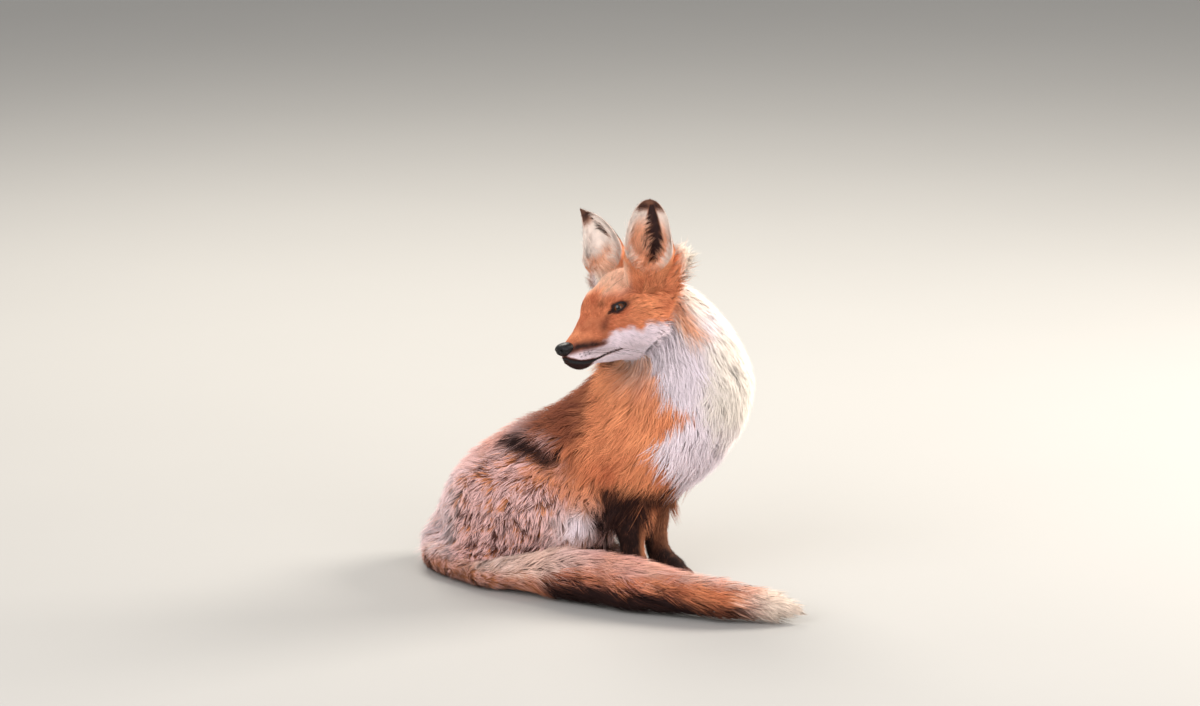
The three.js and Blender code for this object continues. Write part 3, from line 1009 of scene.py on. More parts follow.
class FOX_OT_skin(bpy.types.Operator):
    """One closed skin over the whole body, inside the solids by the coat's depth"""

    bl_idname = "fox.skin"
    bl_label = "Skin"

    def execute(self, context):
        coat = context.scene.fox_coat
        obj = remeshed(joined_flesh(), ROUGH_SIDE)
        points, edges = points_of(obj.data), edges_of(obj.data)
        points = spread(points, edges, 6)
        set_points(obj.data, points)
        shares = region_shares(points, edges, 14)
        plan = to_plan(points)
        fuller = sum(amount * near(plan, place, reach) for place, reach, amount in FULLNESS) * MM
        depth = spread(coat_depth(points, shares, coat) - fuller, edges, 6)
        inward = unit(spread(normals_of(obj.data), edges, 10))
        points = spread(points - inward * depth[:, None], edges, 4)
        set_points(obj.data, points)
        add_toes(obj)
        obj = remeshed(obj, FINE_SIDE)
        points, edges = points_of(obj.data), edges_of(obj.data)
        points = spread(points, edges, 2)
        points[:, 2] = np.maximum(points[:, 2], SOLE)
        set_points(obj.data, points)
        refine_head(obj)
        sculpt_head(obj)
        points, edges = points_of(obj.data), edges_of(obj.data)
        for name, values in region_shares(points, edges, 10).items():
            put_values(obj.data, "share_" + name, values)
        add_ears(obj)
        store_marks(obj.data)
        unwrap_skin(obj.data)
        obj.data.materials.append(skin_finish(context.scene.fox_colours))
        smooth_faces(obj.data)
        finished(obj, "body_coat", *FLESH, "ear_left", "ear_right")
        return {"FINISHED"}


# The ball that fills each eye's socket, and how far each solid is grown, in metres.
SOCKET_PLUG = 0.0135
FLESH_GROWTH = 0.0006


def joined_flesh():
    """The flesh solids in one object, each grown a little so that neighbours run together."""
    joined = bmesh.new()
    for node in FLESH:
        part = merged_copy(node, FLESH_GROWTH)
        mesh = bpy.data.meshes.new("part")
        part.to_mesh(mesh)
        part.free()
        joined.from_mesh(mesh)
        bpy.data.meshes.remove(mesh)
    # The sockets are filled here, and opened again when the lids are shaped.
    for sign in (1, -1):
        middle = from_head(on_side(EYE_MIDDLE, sign))
        for v in bmesh.ops.create_icosphere(joined, subdivisions=3, radius=SOCKET_PLUG)["verts"]:
            v.co += Vector(middle)
    mesh = bpy.data.meshes.new("skin")
    joined.to_mesh(mesh)
    joined.free()
    return linked("skin", mesh)


def add_toes(obj):
    with opened(obj) as mesh:
        for place in from_plan(toes()):
            for v in bmesh.ops.create_icosphere(mesh, subdivisions=3, radius=1.0)["verts"]:
                v.co = Vector(place) + Vector(np.array(v.co) * TOE_HALF * MM)


def refine_head(obj):
    """Halves the faces of the head ahead of the nape."""
    x, y, z = to_head(points_of(obj.data)).T
    front = (x > -118) & (x < 6) & (np.abs(y) < 75) & (z > -60)
    with opened(obj) as mesh:
        edges = [e for e in mesh.edges if front[e.verts[0].index] and front[e.verts[1].index]]
        bmesh.ops.subdivide_edges(mesh, edges=edges, cuts=1, use_grid_fill=True)
    points, edges = points_of(obj.data), edges_of(obj.data)
    head = to_head(points)
    # The new points are smoothed and the rest held.
    near_face = step(head[:, 0], -130, -112) * step(np.linalg.norm(head, axis=1), 170, 150)
    set_points(obj.data, spread(points, edges, 3, hold=1 - near_face))


# The closed mouth's line on the left side, from under the nose to its corner.
LIP_LINE = (
    (-8, 0, -14),
    (-11, 5, -16.5),
    (-17, 8.5, -20),
    (-28, 11, -24),
    (-42, 12.5, -27),
    (-52, 14, -26.5),
    (-60, 16, -24.6),
    (-72, 20.5, -23.8),
    (-80, 24.5, -23.2),
    (-88, 28, -21.5),
)

# Swellings and hollows of the head: place on its left side, reach along each axis, and height.
HEAD_FORMS = (
    ((-84, 19, 45), (11, 8, 5), 1.8),
    ((-94, 42, 12), (13, 8, 7), 1.2),
    ((-66, 14, 20), (9, 6, 8), -1.8),
    ((-106, 38, 34), (12, 8, 10), -1.0),
    ((-36, 13, -14), (14, 6, 6), 1.2),
    ((-90, 0, 50), (16, 5, 8), -1.3),
    ((-42, 0, 13), (16, 9, 7), -1.2),
    ((-31, 0, -28), (16, 13, 8), 5.0),
)


# Round each eye the skin is drawn to this height over the ball, and sinks by this within the opening.
LID_LIFT, SOCKET_DEPTH = 0.7, 3.4


def sculpt_head(obj):
    """Sockets, brows, cheeks and the mouth, worked into the skin."""
    points = points_of(obj.data)
    head = to_head(points)
    both = mirrored(head)
    outward = unit(normals_of(obj.data) @ HEAD_AXES)
    on_head = step(np.linalg.norm(head - np.array([-80.0, 0, 0]), axis=1), 105, 90)
    push = sum(height * near(both, place, reach) for place, reach, height in HEAD_FORMS)
    push -= 1.6 * near_line(both, smooth_line(LIP_LINE, 24), 1.7)
    head = head + outward * (push * on_head)[:, None]
    for sign in (1, -1):
        outside, away, facing = lid_gap(head, sign)
        distance = np.linalg.norm(away, axis=1)
        wanted = EYE_RADIUS + LID_LIFT - SOCKET_DEPTH * step(outside, 1.6, 0.4)
        share = step(outside, 9.0, 2.5) * step(facing, 0.0, 0.25) * (distance < 26)
        head = head + unit(away) * (share * (wanted - distance))[:, None]
    set_points(obj.data, from_head(head))


EAR_VALUES = ("ear_s", "ear_t", "ear_in")


def add_ears(obj):
    with opened(obj) as mesh:
        share = mesh.verts.layers.float["share_ear"]
        rolled = {name: mesh.verts.layers.float.new(name) for name in EAR_VALUES}
        shell = BVHTree.FromBMesh(mesh)
        for sign in (1, -1):
            points, faces, values = ear_shell(sign, shell)
            made = [mesh.verts.new(p) for p in from_head(points)]
            for i, v in enumerate(made):
                v[share] = 1.0
                for name, layer in rolled.items():
                    v[layer] = values[name][i]
            made_faces = [mesh.faces.new([made[i] for i in f]) for f in faces]
            bmesh.ops.recalc_face_normals(mesh, faces=made_faces)


def stored(mesh):
    """Each region's share of each vertex, and where on an ear it lies."""
    shares = {name: get_values(mesh, "share_" + name) for name in REGIONS}
    return shares, {name: get_values(mesh, name) for name in EAR_VALUES}


def store_marks(mesh):
    points = points_of(mesh)
    shares, ear = stored(mesh)
    # Where the coat over this place is seen.
    depth = coat_depth(points, shares, bpy.context.scene.fox_coat) * (1 - shares["ear"])
    shown = points + normals_of(mesh) * (0.8 * depth)[:, None]
    for name, values in blended_marks(shown, shares, ear).items():
        put_values(mesh, name, values)
    # How far along a hair the skin counts as, which sets its painted root shade: less on the ears, head and
    # forelegs.
    put_values(mesh, "along", 0.6 * shares["ear"] + 0.35 * shares["head"] + 0.2 * shares["fore"])
    put_values(mesh, "tone", ripple(to_plan(points), 14, 6.0))


# ------------------------------------------------------------------ unwrap
# Each region has its own chart: turn about the region's own line against distance along it.

CHART_LINES = {
    "head": ((-200, 0, 0), (10, 0, -8)),
    "neck": ((150, -4, 200), (140, -30, 380)),
    "trunk": ((-160, 0, 40), (190, 0, 270)),
    "hind": ((-160, 0, 60), (80, 0, 60)),
    "fore": ((104, 0, 130), (112, 0, 0)),
    "tail": ((-160, -110, 20), (370, -130, 20)),
    "ear": ((-132, 0, 0), (-132, 0, 140)),
}
PAIR_MIDDLE = {"hind": 62.0, "fore": 32.0, "ear": 46.0}
ATLAS_COLUMNS = 3


def chart(points, region):
    """Turn and distance along, both 0 to 1, of world points in a region's own chart, and their side.
    Pairs of limbs and ears share the chart's width, one to each half."""
    own = to_head(points) if region in ("head", "ear") else to_plan(points)
    sides = np.sign(own[:, 1]) + (own[:, 1] == 0)
    a, b = (np.array(p, float) for p in CHART_LINES[region])
    axis = unit(b - a)
    offset = own - a - np.outer(sides, (0, PAIR_MIDDLE.get(region, 0.0), 0))
    along = np.clip(offset @ axis / np.linalg.norm(b - a), 0, 1)
    flat = offset - np.outer(offset @ axis, axis)
    upright = abs(axis[2]) > 0.9
    up = np.array([1.0, 0.0, 0.0]) if upright else unit(np.array([0.0, 0.0, 1.0]) - axis[2] * axis)
    turn = np.arctan2(flat @ np.cross(axis, up), flat @ up) / (2 * math.pi) + 0.5
    return turn, along, sides


def halved(turn, region, sides):
    return 0.5 * turn + np.where(sides > 0, 0.5, 0.0) if region in PAIR_MIDDLE else turn


def unwrap_skin(mesh):
    """Writes the skin's own unwrap, every region's chart in its own cell of an atlas."""
    layer = mesh.uv_layers.new(name="OFBake")
    points = points_of(mesh)
    shares = np.stack(list(stored(mesh)[0].values()), 1)
    corner = read(mesh.loops, "vertex_index", kind=np.int32)
    starts = read(mesh.polygons, "loop_start", kind=np.int32)
    totals = read(mesh.polygons, "loop_total", kind=np.int32)
    # Each face goes with its first corner's region and half.
    first = np.repeat(corner[starts], totals)
    region_of = shares[first].argmax(1)
    uv = np.zeros((len(corner), 2))
    for n, region in enumerate(REGIONS):
        here = region_of == n
        turn, along, _ = chart(points[corner[here]], region)
        lead, _, sides = chart(points[first[here]], region)
        turn = np.clip(turn - np.round(turn - lead), 0, 1)
        uv[here, 0] = (n % ATLAS_COLUMNS + 0.02 + 0.96 * halved(turn, region, sides)) / ATLAS_COLUMNS
        uv[here, 1] = (n // ATLAS_COLUMNS + 0.02 + 0.96 * along) / ATLAS_COLUMNS
    layer.data.foreach_set("uv", uv.astype(np.float32).ravel())


# ------------------------------------------------------------------ finishes


def coat_colour(finish, colours):
    """The coat's colour from the stored markings, the place along the hair and the lock's tone."""
    pale, dark, grizzle, saddle, warm, along, tone = (finish.value(n) for n in (*MARKS, "along", "tone"))
    broad = finish.noise(45.0, 3.0)
    fine = finish.noise(1300.0, 2.0)
    red = finish.mix((warm + 0.45 * (broad - 0.5) + 0.22 * tone).clamped(), colours.rust, colours.orange)
    red = finish.mix((saddle * (0.9 + 0.3 * tone)).clamped(), red, colours.brown)
    # Grizzled hair: a pinkish white band along each hair, umber or orange below and beyond it.
    ends = finish.mix(tone.between(-0.15, 0.15), colours.orange, colours.umber)
    place = along + 0.5 * tone
    lock = finish.mix(place.between(0.16, 0.34) * place.between(0.92, 0.74), ends, colours.frost)
    base = finish.mix(grizzle, red, lock)
    # Pale hair is painted lit in warm cream where the warm mark is high, and shaded in cool shell where it
    # is low.
    base = finish.mix(pale, base, finish.mix(warm, colours.shell, colours.cream))
    base = finish.mix((dark * (1.05 - 0.10 * tone)).clamped(), base, colours.black)
    # Hair is darker down at its roots, least of all where it is pale: painted shade from the coat around
    # it, with some of the underfur's own darker colour.
    root = (1.0 - along.between(0.0, 0.75)) * (0.36 - 0.14 * pale)
    shade = (1.0 - root) * (1.0 + 0.15 * tone) * (0.9 + 0.2 * fine)
    return finish.scaled(base, shade)


def coat_finish(colours):
    finish = Finish("fur", 0.78, specular=0.12)
    return finish.done(coat_colour(finish, colours))


def skin_finish(colours):
    finish = Finish("hide", 0.8, specular=0.15)
    streaks = finish.noise(700.0, 3.0)
    base = finish.scaled(coat_colour(finish, colours), 0.92)
    return finish.done(base, bump=streaks, Strength=0.5, Distance=0.0006)


def leather_finish(colours, name, roughness):
    finish = Finish(name, roughness, specular=0.22, Coat_Weight=0.08, Coat_Roughness=0.25)
    cells = finish.node(
        "ShaderNodeTexVoronoi", {"feature": "DISTANCE_TO_EDGE"}, Vector=finish.place(), Scale=1000.0
    )
    # Painted shade: darker in the creases between the grains, which the bump also sinks, and lighter on the
    # grains.
    crease_shade, grains = [c * 0.5 for c in colours.leather], [c * 1.4 for c in colours.leather]
    base = finish.mix(cells.between(0.0, 0.25), crease_shade, grains)
    return finish.done(base, bump=cells.between(0.0, 0.3), Strength=0.35, Distance=0.0003)


def rim_finish(colours):
    finish = Finish("eye_rim", 0.5, specular=0.25)
    wrinkles = finish.noise(1500.0, 3.0)
    # Painted shade: darker where the wrinkles' bump sinks, lighter where it rises.
    base = finish.mix(wrinkles, colours.leather, [c * 1.6 for c in colours.leather])
    return finish.done(base, bump=wrinkles, Strength=0.3, Distance=0.0002)


def horn_finish(colours):
    finish = Finish("claw_horn", 0.35, Coat_Weight=0.2, Coat_Roughness=0.3)
    bands = finish.noise(220.0, 3.0)
    return finish.done(finish.mix(bands, colours.black, colours.brown))


def bristle_finish(colours):
    finish = Finish("whisker", 0.4)
    shade = finish.noise(60.0, 2.0)
    return finish.done(finish.mix(shade, colours.black, [0.5 * c for c in colours.brown]))


# ------------------------------------------------------------------ eyes


def gaze_axes(sign):
    """The eye's outward axis, its level axis, and its up axis."""
    out = unit(np.array([0.70, 0.70 * sign, 0.12]))
    level = unit(np.cross(np.array([0.0, 0.0, 1.0]), out)) * sign
    return out, level, unit(np.cross(out, level)) * sign


def lid_axes(sign):
    """The opening's outward axis, its long axis towards the outer corner, and its short axis."""
    out = unit(np.array([0.455, 0.868 * sign, 0.20]))
    long = np.array([-0.88, 0.44 * sign, 0.17])
    long = unit(long - (long @ out) * out)
    return out, long, unit(np.cross(out, long)) * sign


# Half the opening's length, measured round the ball.
HALF_OPENING = 10.0


def lid_outline(count):
    """The opening's edge, along and up in millimetres of arc, starting from its outer corner."""
    turn = np.linspace(0, 2 * math.pi, count, endpoint=False)
    along, rise = np.cos(turn), np.sin(turn)
    upper = 3.9 * np.abs(rise) ** 1.25 * (1 - 0.25 * along)
    lower = -2.7 * np.abs(rise) ** 1.4 * (1 - 0.10 * along)
    # The inner corner dips into the tear duct.
    height = np.where(rise > 0, upper, lower) - 0.9 * step(-along, 0.6, 1.0)
    return np.stack([HALF_OPENING * along, height], 1)


def lid_gap(head, sign):
    """How far outside the opening's edge head points lie, their offset from the eye's middle, and
    how squarely they face out of it. Inside the edge the first is negative."""
    out, long, up = lid_axes(sign)
    away = head - on_side(EYE_MIDDLE, sign)
    facing = unit(away) @ out
    close = np.flatnonzero((np.linalg.norm(away, axis=1) < 34) & (facing > -0.2))
    gap = np.full(len(head), 99.0)
    ways = unit(away[close])
    angle = np.arccos(np.clip(ways @ out, -1, 1))
    flat = np.stack([ways @ long, ways @ up], 1)
    flat = unit(flat) * (angle * EYE_RADIUS)[:, None]
    edge = lid_outline(72)
    nearest = np.linalg.norm(flat[:, None, :] - edge[None], axis=2).min(1)
    # Inside, a line straight out along the eye crosses the edge an odd number of times.
    a, b = edge, np.roll(edge, -1, axis=0)
    level = flat[:, 1:]
    spans = (a[:, 1] > level) != (b[:, 1] > level)
    run = np.where(a[:, 1] == b[:, 1], 1.0, b[:, 1] - a[:, 1])
    crossing = a[:, 0] + (level - a[:, 1]) / run * (b[:, 0] - a[:, 0])
    inside = (spans & (flat[:, :1] < crossing)).sum(1) % 2 == 1
    beyond = np.maximum(np.linalg.norm(away[close], axis=1) - EYE_RADIUS - 3, 0)
    gap[close] = np.where(inside, -nearest, nearest + beyond)
    return gap, away, facing


class FOX_OT_eyes(bpy.types.Operator):
    """Wet dark amber eyes with slit pupils, and the black lids round them"""

    bl_idname = "fox.eyes"
    bl_label = "Eyes"

    def execute(self, context):
        colours = context.scene.fox_colours
        finish = eye_finish(colours)
        rims = rim_finish(colours)
        for sign, side in ((1, "left"), (-1, "right")):
            eye = make_eyeball(sign, "eyeball_" + side)
            eye.data.materials.append(finish)
            finished(eye, "eye", "eye_" + side)
            lids = make_lids(sign, "eyelids_" + side)
            lids.data.materials.append(rims)
            finished(lids, "nose_leather")
        return {"FINISHED"}


def ball_grid(rings, spokes):
    """Unit directions of a ball's rings from its first pole to its last, and the faces that close it."""
    theta = np.linspace(0, math.pi, rings + 1)[1:-1, None]
    phi = np.linspace(0, 2 * math.pi, spokes, endpoint=False)[None, :]
    grid = np.stack([np.cos(theta) + 0 * phi, np.sin(theta) * np.cos(phi), np.sin(theta) * np.sin(phi)], -1)
    ways = np.concatenate([grid.reshape(-1, 3), [[1.0, 0, 0]], [[-1.0, 0, 0]]])
    rows = rings - 1
    faces = ring_faces(rows, spokes)
    for c in range(spokes):
        faces.append((rows * spokes, (c + 1) % spokes, c))
        faces.append((rows * spokes + 1, (rows - 1) * spokes + c, (rows - 1) * spokes + (c + 1) % spokes))
    return ways, faces


def make_eyeball(sign, name):
    ways, faces = ball_grid(44, 56)
    axes = np.stack(gaze_axes(sign))
    # The clear front stands a little proud of the ball.
    turned_off = np.degrees(np.arccos(np.clip(ways[:, 0], -1, 1)))
    offset = ways @ axes * (EYE_RADIUS - 0.3 + 0.8 * step(turned_off, 38, 12))[:, None]
    obj = new_object(name, from_head(on_side(EYE_MIDDLE, sign) + offset), faces)
    outward_faces(obj)
    for n, axis in enumerate("zxy"):
        put_values(obj.data, "iris_" + axis, offset @ axes[n])
    return obj


def outward_faces(obj):
    with opened(obj) as mesh:
        bmesh.ops.recalc_face_normals(mesh, faces=mesh.faces)


def eye_finish(colours):
    finish = Finish("wet_eye", 0.07, specular=0.25, Coat_Weight=0.5, Coat_Roughness=0.02)
    x, y, z = (finish.value("iris_" + n) for n in "xyz")
    wide = (x * x + y * y) ** 0.5
    around = finish.node("ShaderNodeMath", {"operation": "ARCTAN2"}, i0=y, i1=x)
    spokes = finish.node("ShaderNodeCombineXYZ", X=around * 9.0, Y=wide * 0.5)
    streaks = finish.noise(1.0, 3.0, spokes)
    pupil = ((x / 2.7) ** 2.0 + (y / 4.0) ** 2.0).between(1.2, 0.8)
    outer = [c * 0.4 for c in colours.iris]
    iris = finish.mix((wide + 1.4 * (streaks - 0.5)).between(2.4, 6.4), colours.iris, outer)
    iris = finish.mix((streaks * 1.1 - 0.4).clamped(), iris, [min(1.6 * c, 1.0) for c in colours.iris])
    iris = finish.mix(wide.between(5.8, 6.9), iris, (0.014, 0.007, 0.005))
    iris = finish.mix(pupil, iris, (0.002, 0.002, 0.002))
    return finish.done(finish.mix(z.between(5.0, 3.0), iris, (0.03, 0.014, 0.010)))


# Across the lid, from inside the opening out to under the skin: distance outward and lift off the ball.
LID_PROFILE = (
    (-0.25, -0.9),
    (-0.2, 0.2),
    (0.0, 0.45),
    (0.3, 0.62),
    (0.7, 0.66),
    (1.1, 0.5),
    (1.6, 0.0),
    (2.2, -1.4),
)


def make_lids(sign, name):
    """A bulging ring from the opening's edge out to under the skin."""
    out, long, up = lid_axes(sign)
    edge = lid_outline(80)
    along = np.roll(edge, -1, axis=0) - np.roll(edge, 1, axis=0)
    outward = unit(np.stack([along[:, 1], -along[:, 0]], 1))
    rows = []
    # The upper lid is the heavier one.
    heavy = 0.9 + 0.5 * step(edge[:, 1], -0.5, 2.0)[:, None]
    for distance, lift in LID_PROFILE:
        place = (edge + outward * distance * heavy) / EYE_RADIUS
        angle = np.linalg.norm(place, axis=1)
        flat = place * (np.sin(angle) / angle)[:, None]
        way = np.cos(angle)[:, None] * out + flat[:, :1] * long + flat[:, 1:] * up
        rows.append(on_side(EYE_MIDDLE, sign) + way * (EYE_RADIUS + lift * (heavy if lift > 0 else 1)))
    n = len(edge)
    faces = ring_faces(len(rows), n)
    # Closed behind, so that the ring has a real thickness.
    last = (len(rows) - 1) * n
    for c in range(n):
        faces.append((last + c, last + (c + 1) % n, (c + 1) % n, c))
    obj = new_object(name, from_head(np.concatenate(rows)), faces)
    outward_faces(obj)
    return obj


# ------------------------------------------------------------------ nose and lips

NOSE_HALF = np.array([10.2, 11.2, 8.3])
# The bare nose sits a little further back than the middle of its solid.
NOSE_SEAT = np.array([-3.8, 0.0, 0.3])
# The slit that runs out and back from each nostril.
NOSTRIL_SLIT = ((8.6, 4.6, 0.8), (7.2, 7.2, -0.2), (4.5, 9.2, -1.8), (1.0, 10.4, -2.4))


class FOX_OT_nose(bpy.types.Operator):
    """The bare nose with its nostrils"""

    bl_idname = "fox.nose"
    bl_label = "Nose"

    def execute(self, context):
        ways, faces = ball_grid(64, 96)
        boxy = ways / (np.abs(ways) ** 2.5).sum(1, keepdims=True) ** (1 / 2.5)
        points = boxy * NOSE_HALF
        # Narrower and further back below.
        low = step(points[:, 2], 1.0, -8.4)
        points[:, 1] *= 1 - 0.30 * low
        points[:, 0] -= 2.2 * low**2
        both = mirrored(points)
        front = step(ways[:, 0], -0.2, 0.4)
        hole = np.exp(-(((both[:, 1] - 4.7) / 1.9) ** 2) - (((both[:, 2] - 0.6) / 1.7) ** 2)) * front
        slit = near_line(both, NOSTRIL_SLIT, 1.1)
        groove = np.exp(-((points[:, 1] / 0.8) ** 2)) * step(points[:, 2], 3.0, -1.0) * front
        wing = near(both, (7.0, 6.6, 2.6), (3.0, 2.4, 2.0))
        inward = 3.4 * hole + 1.5 * slit * (1 - hole) + 0.9 * groove - 0.5 * wing
        points = points - unit(points) * inward[:, None]
        obj = new_object("nose_leather", from_head(points + NOSE_MIDDLE + NOSE_SEAT), faces)
        outward_faces(obj)
        obj.data.materials.append(leather_finish(context.scene.fox_colours, "nose_leather", 0.3))
        finished(obj, "nose_leather", "nose")
        return {"FINISHED"}


TUBE_SIDES = 10


def tube_along(points, radius):
    """A closed tube: points and faces. radius is one number for each point."""
    points = np.asarray(points, float)
    tangent = unit(np.gradient(points, axis=0))
    aside = unit(np.cross(tangent, np.array([0.13, 0.21, 0.97])))
    upward = np.cross(tangent, aside)
    turn = np.linspace(0, 2 * math.pi, TUBE_SIDES, endpoint=False)[None, :, None]
    circle = np.cos(turn) * aside[:, None] + np.sin(turn) * upward[:, None]
    ring = (points[:, None] + circle * np.asarray(radius)[:, None, None]).reshape(-1, 3)
    return ring, capped_faces(len(points), TUBE_SIDES)


def smooth_line(points, count):
    """Evenly spaced points on a smooth curve through a few."""
    points = np.asarray(points, float)
    padded = np.concatenate([2 * points[:1] - points[1:2], points, 2 * points[-1:] - points[-2:-1]])
    place = np.linspace(0, len(points) - 1 - 1e-9, count)
    i = place.astype(int)
    t = (place - i)[:, None]
    p0, p1, p2, p3 = padded[i], padded[i + 1], padded[i + 2], padded[i + 3]
    bend = 2 * p0 - 5 * p1 + 4 * p2 - p3
    return 0.5 * (2 * p1 + (p2 - p0) * t + bend * t**2 + (3 * p1 - p0 - 3 * p2 + p3) * t**3)


def skin_shell():
    """The skin as a tree that finds the nearest point on it."""
    return BVHTree.FromObject(bpy.data.objects["skin"], bpy.context.evaluated_depsgraph_get())


def laid_on_skin(line, shell, lift):
    """A line of head points drawn onto the skin, a little above it, and smoothed."""
    out = []
    for p in from_head(line):
        place, normal, _, _ = shell.find_nearest(Vector(p))
        out.append(place + normal * lift * MM)
    out = to_head(np.array(out))
    for _ in range(6):
        out[1:-1] = 0.5 * out[1:-1] + 0.25 * (out[:-2] + out[2:])
    return out


def both_halves(half):
    """A line from the middle back on the left side, joined to its mirror on the right."""
    return np.concatenate([(half * (1.0, -1.0, 1.0))[::-1], half[1:]])


# Each lip's edge: its line, points along that, how far it lies below the line, lift over the skin,
# radius, how much thinner it ends, and where along it starts to thin.
LIPS = (
    (LIP_LINE, 60, (0.0, 0.0, 0.0), 0.35, 1.05, 0.60, 0.85),
    (LIP_LINE[1:6], 40, (0.5, -0.2, 1.7), 0.10, 1.45, 1.15, 0.50),
)


class FOX_OT_lips(bpy.types.Operator):
    """The dark edges of the closed mouth"""

    bl_idname = "fox.lips"
    bl_label = "Lips"

    def execute(self, context):
        shell = skin_shell()
        points, faces = np.empty((0, 3)), []
        for line, count, below, lift, radius, thinner, start in LIPS:
            middle = laid_on_skin(both_halves(smooth_line(line, count) - below), shell, lift)
            place = np.abs(np.linspace(-1, 1, len(middle)))
            ring, sides = tube_along(middle, radius - thinner * step(place, start, 1.0))
            faces += [tuple(i + len(points) for i in face) for face in sides]
            points = np.concatenate([points, ring])
        obj = new_object("lips", from_head(points), faces)
        outward_faces(obj)
        obj.data.materials.append(leather_finish(context.scene.fox_colours, "lip_leather", 0.42))
        finished(obj, "nose_leather")
        return {"FINISHED"}


# ------------------------------------------------------------------ whiskers and claws


def shaft_tree(name):
    """Grows a curved tapering shaft on every point, along its own 'way' and bent towards its 'bow'.
    A point's 'size' scales its shaft."""
    tree = bpy.data.node_groups.new(name, "GeometryNodeTree")
    tree.is_modifier = True
    interface = tree.interface
    interface.new_socket(name="Geometry", in_out="INPUT", socket_type="NodeSocketGeometry")
    for size in ("Length", "Thickness", "Bend", "Tip"):
        interface.new_socket(name=size, in_out="INPUT", socket_type="NodeSocketFloat")
    interface.new_socket(name="Seed", in_out="INPUT", socket_type="NodeSocketInt")
    interface.new_socket(name="Finish", in_out="INPUT", socket_type="NodeSocketMaterial")
    interface.new_socket(name="Geometry", in_out="OUTPUT", socket_type="NodeSocketGeometry")
    source = tree.nodes.new("NodeGroupInput")
    given = {socket.name: Socket(tree, socket) for socket in source.outputs if socket.name}
    add = partial(add_node, tree)

    def vector(z, x=0.0):
        return add("ShaderNodeCombineXYZ", X=x, Z=z)

    def own(attribute, kind="FLOAT_VECTOR"):
        return add("GeometryNodeInputNamedAttribute", {"data_type": kind}, Name=attribute)

    curve = add(
        "GeometryNodeCurveQuadraticBezier",
        Resolution=10,
        Start=(0.0, 0.0, 0.0),
        Middle=vector(given["Length"] * 0.55),
        End=vector(given["Length"], given["Bend"]),
    )
    along = add("GeometryNodeSplineParameter")
    taper = 1.0 - (1.0 - given["Tip"]) * along**1.3
    curve = add("GeometryNodeSetCurveRadius", Curve=curve, Radius=taper)
    wide = given["Thickness"] * 0.5
    ring = add("GeometryNodeCurvePrimitiveCircle", {"mode": "RADIUS"}, Resolution=7, Radius=wide)
    shaft = add("GeometryNodeCurveToMesh", Curve=curve, Profile_Curve=ring, Fill_Caps=True)
    shaft = add("GeometryNodeSetShadeSmooth", Geometry=shaft)
    turn = add("FunctionNodeAlignRotationToVector", {"axis": "Z"}, Vector=own("way"))
    pivot = {"axis": "X", "pivot_axis": "Z"}
    turn = add("FunctionNodeAlignRotationToVector", pivot, Rotation=turn, Vector=own("bow"))
    uneven = add("FunctionNodeRandomValue", {"data_type": "FLOAT"}, 1, i2=0.85, i3=1.12, Seed=given["Seed"])
    grown = add(
        "GeometryNodeInstanceOnPoints",
        Points=given["Geometry"],
        Instance=shaft,
        Rotation=turn,
        Scale=uneven * own("size", "FLOAT"),
    )
    grown = add("GeometryNodeRealizeInstances", Geometry=grown)
    grown = add("GeometryNodeSetMaterial", Geometry=grown, Material=given["Finish"])
    sink = tree.nodes.new("NodeGroupOutput")
    tree.links.new(grown.out, sink.inputs["Geometry"])
    return tree


def grow_shafts(name, roots, ways, bows, sizes, **inputs):
    """A plain mesh of shafts grown from roots in metres, with values for the tree's own inputs."""
    obj = new_object(name, roots, [], smooth=False)
    for key, value in (("way", ways), ("bow", bows)):
        attribute = obj.data.attributes.new(key, "FLOAT_VECTOR", "POINT")
        attribute.data.foreach_set("vector", np.asarray(value, np.float32).ravel())
    put_values(obj.data, "size", sizes)
    modifier = obj.modifiers.new("shafts", "NODES")
    modifier.node_group = shaft_tree(name + "_growth")
    for item in modifier.node_group.interface.items_tree:
        if item.in_out == "INPUT" and item.name in inputs:
            modifier[item.identifier] = inputs[item.name]
    obj = applied(obj)
    for key in ("way", "bow", "size"):
        if key in obj.data.attributes:
            obj.data.attributes.remove(obj.data.attributes[key])
    return obj


# The bristles over the left eye.
BROW_ROOTS = ((-78, 17, 48), (-82, 20, 48))


def bristles():
    """The left side's bristles: place, way and bow in the head's frame, and size."""
    made = []
    for n, (x, z) in enumerate(WHISKER_ROOTS):
        back = (x + 22) / 22
        way = (-0.62 + 0.12 * back, 0.72, -0.10 - 0.03 * (n % 4))
        made.append(((x, 22, z), way, (-0.6, -0.2, -0.75), 0.62 - 0.42 * back))
    for place in BROW_ROOTS:
        made.append((place, (-0.75, 0.35, 0.55), (-0.8, 0.2, -0.4), 0.55))
    return made


class FOX_OT_whiskers(bpy.types.Operator):
    """Long thin bristles in rows on the muzzle, and a few over each eye"""

    bl_idname = "fox.whiskers"
    bl_label = "Whiskers"

    def execute(self, context):
        shell = skin_shell()
        shafts = []
        for sign in (1, -1):
            for place, way, bow, size in bristles():
                root = shell.find_nearest(Vector(from_head(on_side(place, sign))))[0]
                way, bow = (on_side(v, sign) @ HEAD_AXES.T for v in (way, bow))
                shafts.append((root, way, bow, size))
        roots, ways, bows, sizes = zip(*shafts)
        make = {"Length": 0.056, "Thickness": 0.0003, "Bend": 0.012, "Tip": 0.25, "Seed": 3}
        make["Finish"] = bristle_finish(context.scene.fox_colours)
        finished(grow_shafts("whiskers", roots, ways, bows, sizes, **make), "body_coat")
        return {"FINISHED"}


